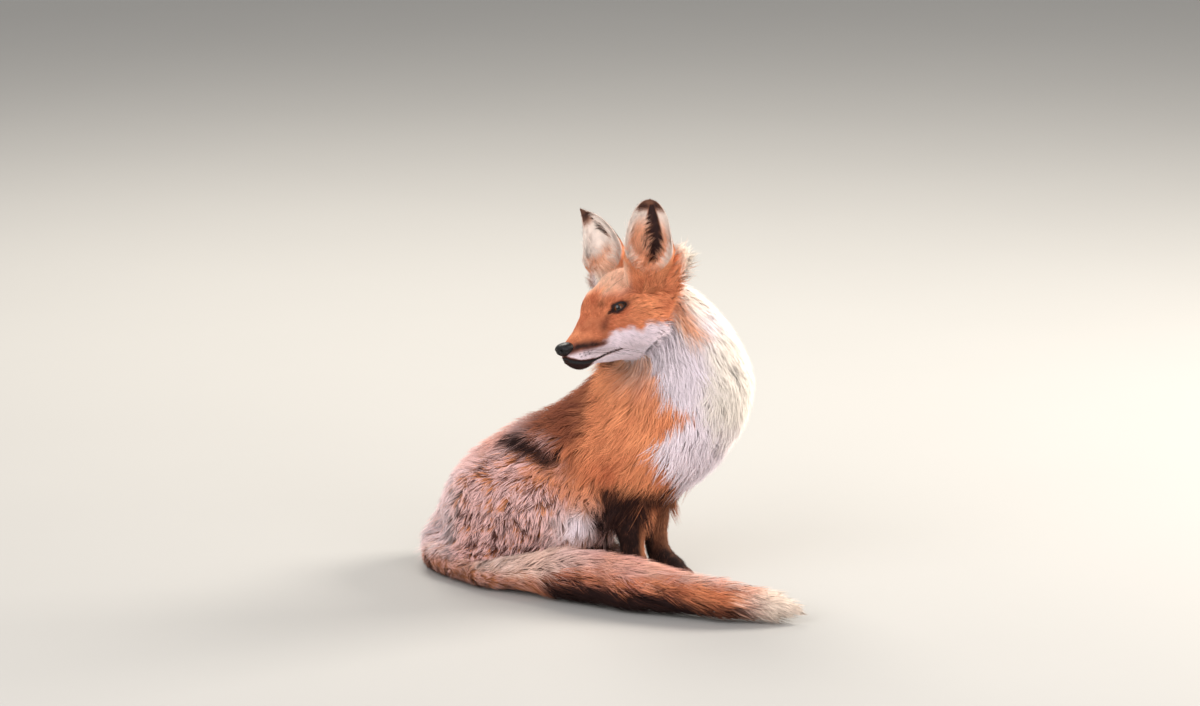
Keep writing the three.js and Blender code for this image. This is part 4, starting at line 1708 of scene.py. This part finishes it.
class FOX_OT_claws(bpy.types.Operator):
    """A short curved claw on every toe"""

    bl_idname = "fox.claws"
    bl_label = "Claws"

    def execute(self, context):
        roots = from_plan(toes() + (8.5, 0.0, 1.6))
        ways = np.tile(unit(np.array([1.0, 0.0, -0.12])), (len(roots), 1))
        bows = np.tile([0.0, 0.0, -1.0], (len(roots), 1))
        make = {"Length": 0.0105, "Thickness": 0.0032, "Bend": 0.0042, "Tip": 0.14, "Seed": 5}
        make["Finish"] = horn_finish(context.scene.fox_colours)
        finished(grow_shafts("claws", roots, ways, bows, np.ones(len(roots)), **make), "nose_leather")
        return {"FINISHED"}


# ------------------------------------------------------------------ coat

# How hair lies: places in the plan's frame, the way it runs there, and how far that holds.
MIDDLE_LIE = (
    ((140, -28, 350), (0.45, 0.25, -0.85), 50),
    ((185, -30, 320), (0.35, 0.05, -0.95), 50),
    ((215, -20, 270), (0.12, 0.0, -1.0), 60),
    ((225, 0, 220), (-0.10, 0.0, -1.0), 60),
    ((190, 0, 150), (-0.45, 0.0, -0.9), 50),
    ((150, -75, 280), (0.35, 0.0, -0.9), 30),
    ((115, -80, 280), (-0.45, -0.1, -0.9), 40),
    ((120, 80, 280), (-0.45, 0.1, -0.9), 50),
    ((100, 0, 300), (-0.9, 0.0, -0.45), 50),
    ((30, 0, 230), (-0.92, 0.0, -0.45), 60),
    ((-40, 0, 185), (-0.85, 0.0, -0.5), 50),
    ((-100, 0, 125), (-0.7, 0.0, -0.75), 45),
    ((-140, 0, 60), (-0.35, 0.0, -1.0), 45),
    ((100, 0, 110), (-0.4, 0.0, -0.9), 40),
)
# The left side's, which the right side mirrors.
FLANK_LIE = (
    ((165, 78, 200), (-0.35, 0.1, -0.95), 30),
    ((100, 70, 210), (-0.75, 0.0, -0.65), 55),
    ((30, 60, 165), (-0.5, 0.0, -0.85), 45),
    ((60, 65, 130), (-0.1, 0.0, -1.0), 35),
    ((-150, 45, 35), (-1.0, 0.2, -0.6), 26),
    ((-80, 75, 120), (-0.45, 0.0, -0.9), 45),
    ((-20, 85, 100), (-0.05, 0.0, -1.0), 45),
    ((60, 75, 90), (-0.10, 0.0, -1.0), 40),
)
# The same for the head, in its own frame, with y for its left side.
HEAD_LIE = (
    ((-10, 0, 6), (-1.0, 0.0, 0.25), 16),
    ((-45, 0, 20), (-1.0, 0.0, 0.35), 22),
    ((-40, 18, -2), (-1.0, 0.15, -0.15), 18),
    ((-30, 14, -18), (-1.0, 0.1, -0.25), 12),
    ((-76, 22, 36), (-0.75, 0.05, 0.8), 9),
    ((-86, 12, 46), (-0.75, 0.10, 0.65), 16),
    ((-76, 29, 14), (-0.9, 0.3, -0.35), 8),
    ((-120, 0, 62), (-1.0, 0.0, 0.1), 25),
    ((-95, 36, 40), (-0.85, 0.5, 0.25), 14),
    ((-104, 42, 14), (-1.0, 0.25, -0.15), 20),
    ((-72, 30, 4), (-0.9, 0.25, -0.4), 16),
    ((-60, 18, -22), (-1.0, 0.1, -0.35), 18),
    ((-112, 50, -12), (-0.8, 0.2, -0.55), 24),
    ((-100, 36, -34), (-0.85, 0.0, -0.5), 20),
    ((-90, 0, -34), (-1.0, 0.0, -0.3), 30),
    ((-140, 40, 14), (-0.8, 0.45, -0.5), 25),
    ((-160, 0, 40), (-0.9, 0.0, -0.3), 30),
)
# Behind the left ear it stands out, where the turned head bunches it.
MANE_LIE = (
    ((-152, 58, 40), (-0.35, 0.65, 0.65), 16),
    ((-172, 56, 30), (-0.35, 0.85, 0.30), 22),
)


def lie_from(points, table):
    """The blended direction at points from a table of places."""
    total = np.zeros_like(points)
    for place, way, reach in table:
        offset = np.linalg.norm(points - np.array(place, float), axis=1)
        weight = np.exp(-((offset / reach) ** 2)) + 1e-4 / (1 + offset)
        total += weight[:, None] * unit(np.array(way, float))
    return unit(total)


def lie_of_hair(roots):
    """The way the hair runs at each root, along the surface."""
    head, plan, ear = roots.head, roots.plan, roots.ear
    sign = np.where(head[:, 1] < 0, -1.0, 1.0)
    on_head = lie_from(mirrored(head), HEAD_LIE)
    on_head[:, 1] *= sign
    left = head[:, 1] > 0
    on_head[left] = lie_from(head[left], HEAD_LIE + MANE_LIE)
    on_head = on_head @ HEAD_AXES.T
    flanks = [(on_side(p, s), on_side(way, s), reach) for p, way, reach in FLANK_LIE for s in (-1, 1)]
    on_body = lie_from(plan, (*MIDDLE_LIE, *flanks))
    fore = np.tile([-0.12, 0.0, -1.0], (len(plan), 1))
    toe = step(plan[:, 2], 26, 14)[:, None]
    fore = unit(fore * (1 - toe) + toe * np.array([1.0, 0.0, -0.45]))
    foot = step(plan[:, 2], 34, 18)[:, None]
    hind = unit(on_body * (1 - foot) + foot * np.array([1.0, 0.0, -0.35]))
    on_ear = np.zeros_like(head)
    for side in (1, -1):
        here = sign == side
        along, ahead, across = Ear(side).axes(np.clip(ear["ear_t"][here], 0, 1))
        s, inner = ear["ear_s"][here, None], ear["ear_in"][here, None]
        # Outside it runs up and out to the edges; inside it leans from the edges over the hollow.
        outside = along + 0.35 * s * across
        within = 0.9 * along - 0.75 * np.sign(s) * np.abs(s) ** 0.5 * across + 0.35 * ahead
        on_ear[here] = unit(outside * (1 - inner) + within * inner) @ HEAD_AXES.T
    ways = {
        "head": on_head,
        "neck": on_body,
        "trunk": on_body,
        "hind": hind,
        "fore": fore,
        "tail": tail_way(plan),
        "ear": on_ear,
    }
    total = sum(roots.shares[name][:, None] * way for name, way in ways.items())
    return unit(total - (total * roots.normal).sum(1)[:, None] * roots.normal)


TAIL_LINE = (
    (-150, -20, 22),
    (-118, -80, 15),
    (-64, -112, 16),
    (-14, -116, 26),
    (52, -122, 32),
    (150, -138, 32),
    (270, -142, 27),
    (352, -118, 17),
)


def tail_way(plan):
    """Along the tail's line, the way it runs at the nearest of its points."""
    line = smooth_line(TAIL_LINE, 60)
    nearest = ((plan[:, None, :] - line[None]) ** 2).sum(-1).argmin(1)
    return unit(np.gradient(line, axis=0))[nearest]


class Roots:
    """Where a piece's tufts start, with all that is stored on the skin there."""

    def __init__(self, mesh, count, weight, rng):
        """Spreads them over the mesh, thick where weight, one number for each vertex, is high."""
        points, normals = points_of(mesh), normals_of(mesh)
        triangles = triangles_of(mesh)
        first, second, third = points[triangles].transpose(1, 0, 2)
        area = np.linalg.norm(np.cross(second - first, third - first), axis=1) / 2
        total = np.cumsum(area * weight[triangles].mean(1))
        picks = np.searchsorted(total, (np.arange(count) + rng.random(count)) / count * total[-1])
        chosen = triangles[np.minimum(picks, len(triangles) - 1)]
        a, b = rng.random(count), rng.random(count)
        fold = a + b > 1
        a[fold], b[fold] = 1 - a[fold], 1 - b[fold]

        def blend(values):
            """What the corners of each root's triangle hold, at the root itself."""
            return sum(values[corner].T * part for corner, part in zip(chosen.T, (1 - a - b, a, b))).T

        self.place, self.normal = blend(points), unit(blend(normals))
        shares, ear = stored(mesh)
        self.shares = {name: blend(values) for name, values in shares.items()}
        self.ear = {name: blend(values) for name, values in ear.items()}
        self.plan, self.head = to_plan(self.place), to_head(self.place)

    def depth(self):
        return coat_depth(self.place, self.shares, bpy.context.scene.fox_coat)


TUFT_SIDES = 3
# A tuft's width, over its widest, at places along it.
TUFT_PLACES, TUFT_WIDTHS = (0, 0.25, 0.6, 1), (0.8, 1.0, 0.75, 0.0)
# The coat's hair keeps this far over the floor, and hangs by this much of its length.
HAIR_SOLE, HANG = 0.0004, 0.06
# The side of each tuft's own patch of the unwrap.
TUFT_PATCH = 0.003


def tuft_mesh(name, tufts, lit, bands, values, uv):
    """Joins tufts into one mesh. Each is a thin closed spike bent along a curve.
    tufts holds one root, normal, way, length, width, lift and bend for each, and lit the way each
    is lit from; values is {name: one number for each tuft}; uv is the middle of each tuft's patch."""
    root, normal, way, length, width, lift, bend = tufts
    n = len(root)
    side = unit(np.cross(normal, way))
    stations = np.linspace(0, 1, bands + 1)
    shape = np.interp(stations, TUFT_PLACES, TUFT_WIDTHS)
    rings = []
    for s in stations:
        rise = lift * (1 - (1 - s) ** 2)
        rings.append(root + way * (length * s)[:, None] + normal * rise[:, None] + bend * s**1.7)
    rings = np.stack(rings, 1)
    per = bands * TUFT_SIDES + 1
    points, shading = np.empty((n, per, 3)), np.empty((n, per, 3))
    turns = np.arange(TUFT_SIDES) * 2 * math.pi / TUFT_SIDES + math.pi / 2
    for k in range(bands):
        tangent = unit(rings[:, min(k + 1, bands)] - rings[:, max(k - 1, 0)])
        across = unit(side - (side * tangent).sum(1)[:, None] * tangent)
        up = np.cross(tangent, across)
        for j, turn in enumerate(turns):
            offset = across * math.cos(turn) + up * (0.5 * math.sin(turn))
            points[:, k * TUFT_SIDES + j] = rings[:, k] + offset * (width * shape[k] / 2)[:, None]
            shading[:, k * TUFT_SIDES + j] = 0.6 * unit(offset) + lit
    points[:, -1] = rings[:, -1]
    shading[:, -1] = lit
    points[..., 2] = np.maximum(points[..., 2], HAIR_SOLE)
    faces = []
    for k in range(bands - 1):
        for j in range(TUFT_SIDES):
            a, b = k * TUFT_SIDES + j, k * TUFT_SIDES + (j + 1) % TUFT_SIDES
            faces.append((a, b, b + TUFT_SIDES))
            faces.append((a, b + TUFT_SIDES, a + TUFT_SIDES))
    last = (bands - 1) * TUFT_SIDES
    for j in range(TUFT_SIDES):
        faces.append((last + j, last + (j + 1) % TUFT_SIDES, per - 1))
    faces.append((0, 2, 1))
    faces = np.array(faces)
    corners = (faces[None] + np.arange(n)[:, None, None] * per).reshape(-1)
    mesh = bpy.data.meshes.new(name)
    mesh.vertices.add(n * per)
    mesh.vertices.foreach_set("co", points.astype(np.float32).ravel())
    mesh.loops.add(len(corners))
    mesh.loops.foreach_set("vertex_index", corners.astype(np.int32))
    mesh.polygons.add(len(corners) // 3)
    mesh.polygons.foreach_set("loop_start", np.arange(0, len(corners), 3, dtype=np.int32))
    smooth_faces(mesh)
    mesh.update(calc_edges=True)
    for key in (*MARKS, "tone"):
        put_values(mesh, key, np.repeat(values[key], per))
    # How far along its tuft each point lies, which sets the painted root shade; 'least' keeps the roots
    # from their darkest.
    along = np.append(np.repeat(stations[:-1], TUFT_SIDES), 1.0)
    put_values(mesh, "along", np.maximum(np.tile(along, n), np.repeat(values["least"], per)))
    layer = mesh.uv_layers.new(name="OFBake")
    around = np.append(np.tile(np.linspace(0, 1, TUFT_SIDES), bands), 0.5)
    local = np.stack([around, along], 1)[faces.reshape(-1)]
    spot = (uv[:, None, :] + (local - 0.5)[None] * TUFT_PATCH).reshape(-1, 2)
    layer.data.foreach_set("uv", np.clip(spot, 0, 1).astype(np.float32).ravel())
    # Lit as part of the coat's own surface rather than spike by spike.
    soft = mesh.attributes.new("custom_normal", "FLOAT_VECTOR", "POINT")
    soft.data.foreach_set("vector", unit(shading).astype(np.float32).ravel())
    return linked(name, mesh)


# Each coat piece: its region, which of the region's roots, how many tufts, bands along each, length
# and width of a tuft in millimetres, tufts to a lock, and how far a lock's tips draw together.
COAT_PIECES = (
    ("coat_face", "head", "front", 42000, 1, 5.0, 0.55, 8, 0.15),
    ("coat_cheeks", "head", "back", 18000, 2, 15.0, 0.75, 9, 0.40),
    ("coat_ears", "ear", "short", 28000, 1, 6.0, 0.6, 8, 0.15),
    ("coat_ear_fringe", "ear", "long", 8500, 2, 18.0, 0.6, 6, 0.35),
    ("coat_neck", "neck", "all", 18500, 2, 42.0, 1.15, 12, 0.50),
    ("coat_chest", "trunk", "front", 18000, 2, 42.0, 1.15, 12, 0.50),
    ("coat_back", "trunk", "back", 13000, 2, 32.0, 1.2, 12, 0.50),
    ("coat_haunch_right", "hind", "right", 13000, 2, 27.0, 1.1, 22, 0.75),
    ("coat_haunch_left", "hind", "left", 11000, 2, 27.0, 1.2, 22, 0.75),
    ("coat_forelegs", "fore", "all", 12000, 1, 9.0, 0.9, 8, 0.25),
    ("coat_tail", "tail", "all", 17000, 2, 42.0, 1.15, 12, 0.60),
)
FRONT_HEAD, FRONT_TRUNK = -100.0, 88.0


def part_of_region(region, which, points, ear):
    """1 at the skin's vertices that belong to the wanted part of a region."""
    plan, head = to_plan(points), to_head(points)
    ahead = head[:, 0] > FRONT_HEAD if region == "head" else plan[:, 0] > FRONT_TRUNK
    s, t, inner = ear["ear_s"], ear["ear_t"], ear["ear_in"] > 0.5
    slit = (head[:, 1] > 0) & (np.abs(s - 0.06) < 0.24)
    edges = inner & (((s < -0.4) & (t < 0.86)) | ((s > 0.5) & (t < 0.8)) | (t < 0.42)) & (t > 0.04) & ~slit
    return {
        "all": np.ones(len(points)),
        "front": ahead,
        "back": ~ahead,
        "left": plan[:, 1] > 0,
        "right": plan[:, 1] <= 0,
        "short": np.where(inner, 0.4 + 1.2 * (np.abs(s) > 0.35), 0.8) * ((t > 0) | ~inner),
        "long": edges * np.where((s < 0) | (t < 0.36), 1.0, 0.5),
    }[which]


def bare(points):
    """1 where hair grows, 0 on the nose, the lips' edge, the eyes and down in the ears."""
    head = to_head(points)
    both = mirrored(head)
    lips = step(gap_to_line(both, smooth_line(LIP_LINE, 24)), 1.2, 1.9)
    lips = np.where(head[:, 0] < -84, 1.0, lips)
    nose = step(np.linalg.norm((head - NOSE_MIDDLE - NOSE_SEAT) / (NOSE_HALF + 0.8), axis=1), 0.98, 1.05)
    outside, _, _ = lid_gap(both, 1)
    return lips * nose * step(outside, 2.2, 2.9) * (1 - in_an_ear(head))


class FOX_OT_coat(bpy.types.Operator):
    """The coat: tufts over the skin, lying the way the hair runs"""

    bl_idname = "fox.coat"
    bl_label = "Coat"

    def execute(self, context):
        scene = context.scene
        mesh = bpy.data.objects["skin"].data
        rng = np.random.default_rng(scene.fox_coat.seed)
        finish = coat_finish(scene.fox_colours)
        shell = skin_shell()
        points = points_of(mesh)
        seen = (points[:, 2] > 0.003) | (normals_of(mesh)[:, 2] > -0.3)
        shares, ear = stored(mesh)
        haired = {True: seen * 1.0, False: seen * bare(points)}
        for name, region, which, count, *make in COAT_PIECES:
            others = np.max([shares[r] for r in REGIONS if r != region], axis=0)
            weight = (shares[region] >= others) * part_of_region(region, which, points, ear)
            weight = weight * haired[region == "ear"]
            roots = Roots(mesh, int(count * scene.fox_coat.fineness), weight, rng)
            grow_piece(name, region, which, roots, make, shell, finish, rng)
        return {"FINISHED"}


RUFF_LINE = ((-94, 34, -34), (-116, 46, -28), (-138, 50, -12), (-150, 52, 8))


def hair_scale(region, which, roots):
    """How long hair is at each root, over the piece's usual length."""
    plan, head = roots.plan, roots.head
    x, z = head[:, 0], head[:, 2]
    side = np.abs(head[:, 1])
    if region == "head" and which == "front":
        outside, _, _ = lid_gap(mirrored(head), 1)
        scale = 0.62 + 0.75 * step(x, -38, -92) + 0.5 * step(x, -56, -80) * step(z, 4, -8)
        scale *= 0.7 + 0.3 * step(x, -14, -34)
        scale *= 1 + 1.4 * near(mirrored(head), (-104, 34, 46), (12, 10, 12))
        return scale * (0.45 + 0.55 * step(outside, 2.5, 8.0))
    if region == "head":
        ruff = near_line(mirrored(head), RUFF_LINE, 17)
        mane = step(x - 0.3 * side, -158, -176) * step(head[:, 1], 24, 40)
        near_ear = step(z, 34, 52) * step(x, -165, -150)
        return 0.65 + 0.35 * step(x, -100, -125) + 0.95 * ruff + 1.0 * mane - 0.15 * near_ear
    if region == "ear" and which == "short":
        inner, t = roots.ear["ear_in"], roots.ear["ear_t"]
        low = step(t, 0.34, 0.0)
        hollow = step(np.abs(roots.ear["ear_s"]), 0.5, 0.3)
        return np.where(inner > 0.5, 0.9 - 0.4 * hollow, 0.8 + 1.9 * low) * (1 - 0.35 * step(t, 0.7, 1.0))
    if region == "ear":
        s, t = roots.ear["ear_s"], roots.ear["ear_t"]
        return np.where(s < 0, 1.0, 0.6) * step(t, 0.95, 0.5) * (1 + 0.3 * step(t, 0.4, 0.2))
    usual = {"trunk": 0.020, "neck": 0.026, "hind": 0.015, "tail": 0.018, "fore": 0.006}[region]
    scale = np.clip(roots.depth() / usual, 0.35, 1.15)
    if region == "hind":
        scale *= 1 - 0.4 * step(plan[:, 0], 20, 70)
        scale += 0.7 * by_rump(plan, (22, 34, 20))
    return scale


def by_rump(plan, reach):
    """1 low behind each haunch, where the coat stands out over the ground."""
    return near(mirrored(plan), (-140, 52, 32), reach)


def locks_of(place, count, rng):
    """Which lock each root belongs to, and the root at each lock's middle."""
    middles = rng.choice(len(place), count, replace=False)
    tree = KDTree(count)
    for i, m in enumerate(middles):
        tree.insert(Vector(place[m]), i)
    tree.balance()
    return np.array([tree.find(Vector(p))[1] for p in place]), middles


def follow_skin(tufts, shell, height):
    """The bend that keeps each tip at its height over the skin, however the skin curves."""
    root, normal, way, length, _, lift, bend = tufts
    tips = root + way * length[:, None] + normal * lift[:, None] + bend
    change = np.zeros_like(tips)
    for i, tip in enumerate(tips):
        place, out, _, _ = shell.find_nearest(Vector(tip))
        out = np.array(out)
        change[i] = out * (height[i] - (tip - np.array(place)) @ out)
    limit = 0.5 * length
    size = np.linalg.norm(change, axis=1)
    return bend + change * np.minimum(1, limit / np.maximum(size, 1e-9))[:, None]


def lit_from(region, roots):
    """The way each tuft is lit from: out of the skin, or out of the opening within an ear."""
    if region != "ear":
        return roots.normal * {"head": 0.55, "neck": 1.4, "trunk": 1.2}.get(region, 0.9)
    out = roots.normal.copy()
    for side in (1, -1):
        here = side * roots.head[:, 1] > 0
        ahead = Ear(side).axes(np.clip(roots.ear["ear_t"][here], 0, 1))[1] @ HEAD_AXES.T
        out[here] = out[here] * 0.35 + ahead
    inner = step(roots.ear["ear_in"], 0.2, 0.6)[:, None]
    return 0.9 * unit(out * inner + roots.normal * (1 - inner))


def grow_piece(name, region, which, roots, make, shell, finish, rng):
    bands, length, width, lock_size, clump = make
    n = len(roots.place)
    scale = hair_scale(region, which, roots)
    depth = roots.depth()
    if which == "long":
        depth = depth + 0.006 + 0.004 * step(roots.ear["ear_t"], 0.5, 0.2)
    way = lie_of_hair(roots)
    locks = max(n // lock_size, 1)
    owner, middles = locks_of(roots.place, locks, rng)
    stray = 0.12 * rng.standard_normal(n) + 0.20 * rng.standard_normal(locks)[owner]
    stray += 0.24 * ripple(roots.plan, 38, 1.7)
    way = unit(way + np.cross(roots.normal, way) * stray[:, None])
    uneven = 0.75 + 0.4 * rng.random(n)
    uneven *= 1 + 0.15 * rng.standard_normal(locks)[owner]
    long = np.maximum(length * MM * scale * uneven, 0.0012)
    thick = width * MM * (0.7 + 0.6 * rng.random(n)) * np.clip(scale, 0.6, 1.15)
    lift = depth * (0.55 + 0.4 * rng.random(n))
    if which == "short":
        lift = lift + 0.0045 * step(roots.ear["ear_t"], 0.28, 0.0) * (roots.ear["ear_in"] < 0.5)
    if region == "hind":
        lift = lift + 0.014 * by_rump(roots.plan, (20, 34, 18))
    if which == "back" and region == "head":
        lift *= 1 + 0.45 * near(roots.head, (-170, 52, 44), (26, 22, 34))
    # A lock's tips draw together over its middle, and hang a little.
    lead = roots.place[middles][owner] + way[middles][owner] * long[:, None]
    pull = (lead - roots.place - way * long[:, None]) * clump
    pull -= (pull * roots.normal).sum(1)[:, None] * roots.normal
    far = np.linalg.norm(pull, axis=1)
    pull *= np.minimum(1, 0.4 * long / np.maximum(far, 1e-9))[:, None]
    bend = pull - np.outer(long, (0.0, 0.0, HANG))
    sway = 0.16 * rng.standard_normal(locks)[owner] + 0.22 * ripple(roots.plan, 27, 5.0)
    bend += np.cross(roots.normal, way) * (sway * long * (length > 10))[:, None]
    tufts = [roots.place - roots.normal * 0.0004, roots.normal, way, long, thick, lift, bend]
    if length > 10 and region != "ear":
        tufts[6] = follow_skin(tufts, shell, lift + 0.0006)
    tone = 0.8 * rng.uniform(-1, 1, locks)[owner] + 0.30 * rng.standard_normal(n)
    tone = np.clip(tone + 0.35 * ripple(roots.plan, 21, 8.0), -1, 1)
    # Colour belongs to where the hair is seen, some way along it.
    shown = roots.place + way * (0.72 * long)[:, None] + roots.normal * (0.8 * lift)[:, None]
    values = blended_marks(shown, roots.shares, roots.ear)
    values["tone"] = tone
    # On the neck, under the jaw, the painted shade at the hairs' roots is lighter: each root counts as half
    # way along its hair.
    values["least"] = 0.5 * (region == "neck") * np.ones(n)
    turn, along, sides = chart(roots.place, region)
    uv = np.stack([0.01 + 0.98 * halved(turn, region, sides), 0.01 + 0.98 * along], 1)
    obj = tuft_mesh(name, tufts, lit_from(region, roots), bands, values, uv)
    obj.data.materials.append(finish)
    finished(obj, "body_coat")


# ------------------------------------------------------------------ stage


class FOX_OT_stage(bpy.types.Operator):
    """Pale floor, soft lights and the camera"""

    bl_idname = "fox.stage"
    bl_label = "Stage"

    def execute(self, context):
        scene, view = context.scene, context.scene.fox_view
        corners = [(x * FLOOR_HALF, y * FLOOR_HALF, 0) for x, y in ((-1, -1), (1, -1), (1, 1), (-1, 1))]
        floor = new_object("floor", corners, [(0, 1, 2, 3)], smooth=False)
        finish = Finish("pale_floor", 0.85, specular=0.2)
        grain = finish.mix(finish.noise(3.0, 3.0), view.floor, [c * 0.97 for c in view.floor])
        floor.data.materials.append(finish.done(grain))
        world = bpy.data.worlds.new("studio")
        scene.world = world
        world.use_nodes = True
        backdrop = world.node_tree.nodes["Background"]
        backdrop.inputs["Color"].default_value = (*WORLD_TINT, 1.0)
        backdrop.inputs["Strength"].default_value = WORLD_STRENGTH
        scene.view_settings.view_transform = "Standard"
        aim = from_plan(AIM)
        right, away = camera_axes(view)
        level = away * (1, 1, 0)
        for name, (sideways, height, behind), power, size, rgb in LIGHTS:
            data = bpy.data.lights.new(name, "AREA")
            data.energy, data.size, data.color = power, size, rgb
            place = aim + right * sideways + level * behind + (0, 0, height)
            aimed(name, data, place, aim)
        data = bpy.data.cameras.new("camera")
        data.lens = view.lens
        data.sensor_width = 36.0
        data.clip_end = 100.0
        scene.camera = aimed("camera", data, aim - away * view.distance, aim)
        return {"FINISHED"}


# The floor's half width in metres, and the light from all round.
FLOOR_HALF = 30.0
WORLD_TINT, WORLD_STRENGTH = (1.0, 0.985, 0.96), 0.55


# The point the camera looks at, in the plan's frame.
AIM = (74.5, -56.2, 291.9)
# Each light's place from there, right, up and away from the camera in metres; its power, size, colour.
LIGHTS = (
    ("low_sun", (2.3, 1.5, 0.9), 110.0, 1.2, (1.0, 0.94, 0.85)),
    ("rim", (-0.6, 1.9, 2.0), 62.0, 1.4, (1.0, 0.94, 0.84)),
    ("fill", (-1.6, 1.4, -2.2), 62.0, 2.4, (1.0, 0.97, 0.96)),
    ("front", (1.4, 0.8, -2.4), 32.0, 2.0, (1.0, 0.97, 0.98)),
)


def camera_axes(view):
    """The camera's right and forward ways."""
    az, el = view.azimuth, view.elevation
    right = np.array([math.cos(az), math.sin(az), 0.0])
    return right, np.array([-math.sin(az) * math.cos(el), math.cos(az) * math.cos(el), -math.sin(el)])


def aimed(name, data, place, aim):
    """A light or camera at a place, turned to look at another."""
    obj = linked(name, data)
    obj.location = Vector(place)
    obj.rotation_euler = Vector(aim - place).to_track_quat("-Z", "Y").to_euler()
    return obj


# ------------------------------------------------------------------ add-on


class FOX_PT_panel(bpy.types.Panel):
    """Lists the fox's pieces and what may be changed"""

    bl_label = "Fox"
    bl_idname = "FOX_PT_panel"
    bl_space_type = "VIEW_3D"
    bl_region_type = "UI"
    bl_category = "Fox"

    def draw(self, context):
        for operator in STEPS:
            self.layout.operator(operator.bl_idname)
        for group in (context.scene.fox_coat, context.scene.fox_colours, context.scene.fox_view):
            box = self.layout.box()
            for name in group.__annotations__:
                box.prop(group, name)


STEPS = (
    FOX_OT_stage,
    FOX_OT_skin,
    FOX_OT_eyes,
    FOX_OT_nose,
    FOX_OT_lips,
    FOX_OT_whiskers,
    FOX_OT_claws,
    FOX_OT_coat,
)
GROUPS = {"fox_coat": FoxCoat, "fox_colours": FoxColours, "fox_view": FoxView}


def register():
    for cls in (*GROUPS.values(), *STEPS, FOX_PT_panel):
        bpy.utils.register_class(cls)
    for name, cls in GROUPS.items():
        setattr(bpy.types.Scene, name, bpy.props.PointerProperty(type=cls))


def unregister():
    for name in GROUPS:
        delattr(bpy.types.Scene, name)
    for cls in reversed((*GROUPS.values(), *STEPS, FOX_PT_panel)):
        bpy.utils.unregister_class(cls)


def main():
    register()
    for operator in STEPS:
        group, _, name = operator.bl_idname.partition(".")
        getattr(getattr(bpy.ops, group), name)()


if __name__ == "__main__":
    main()
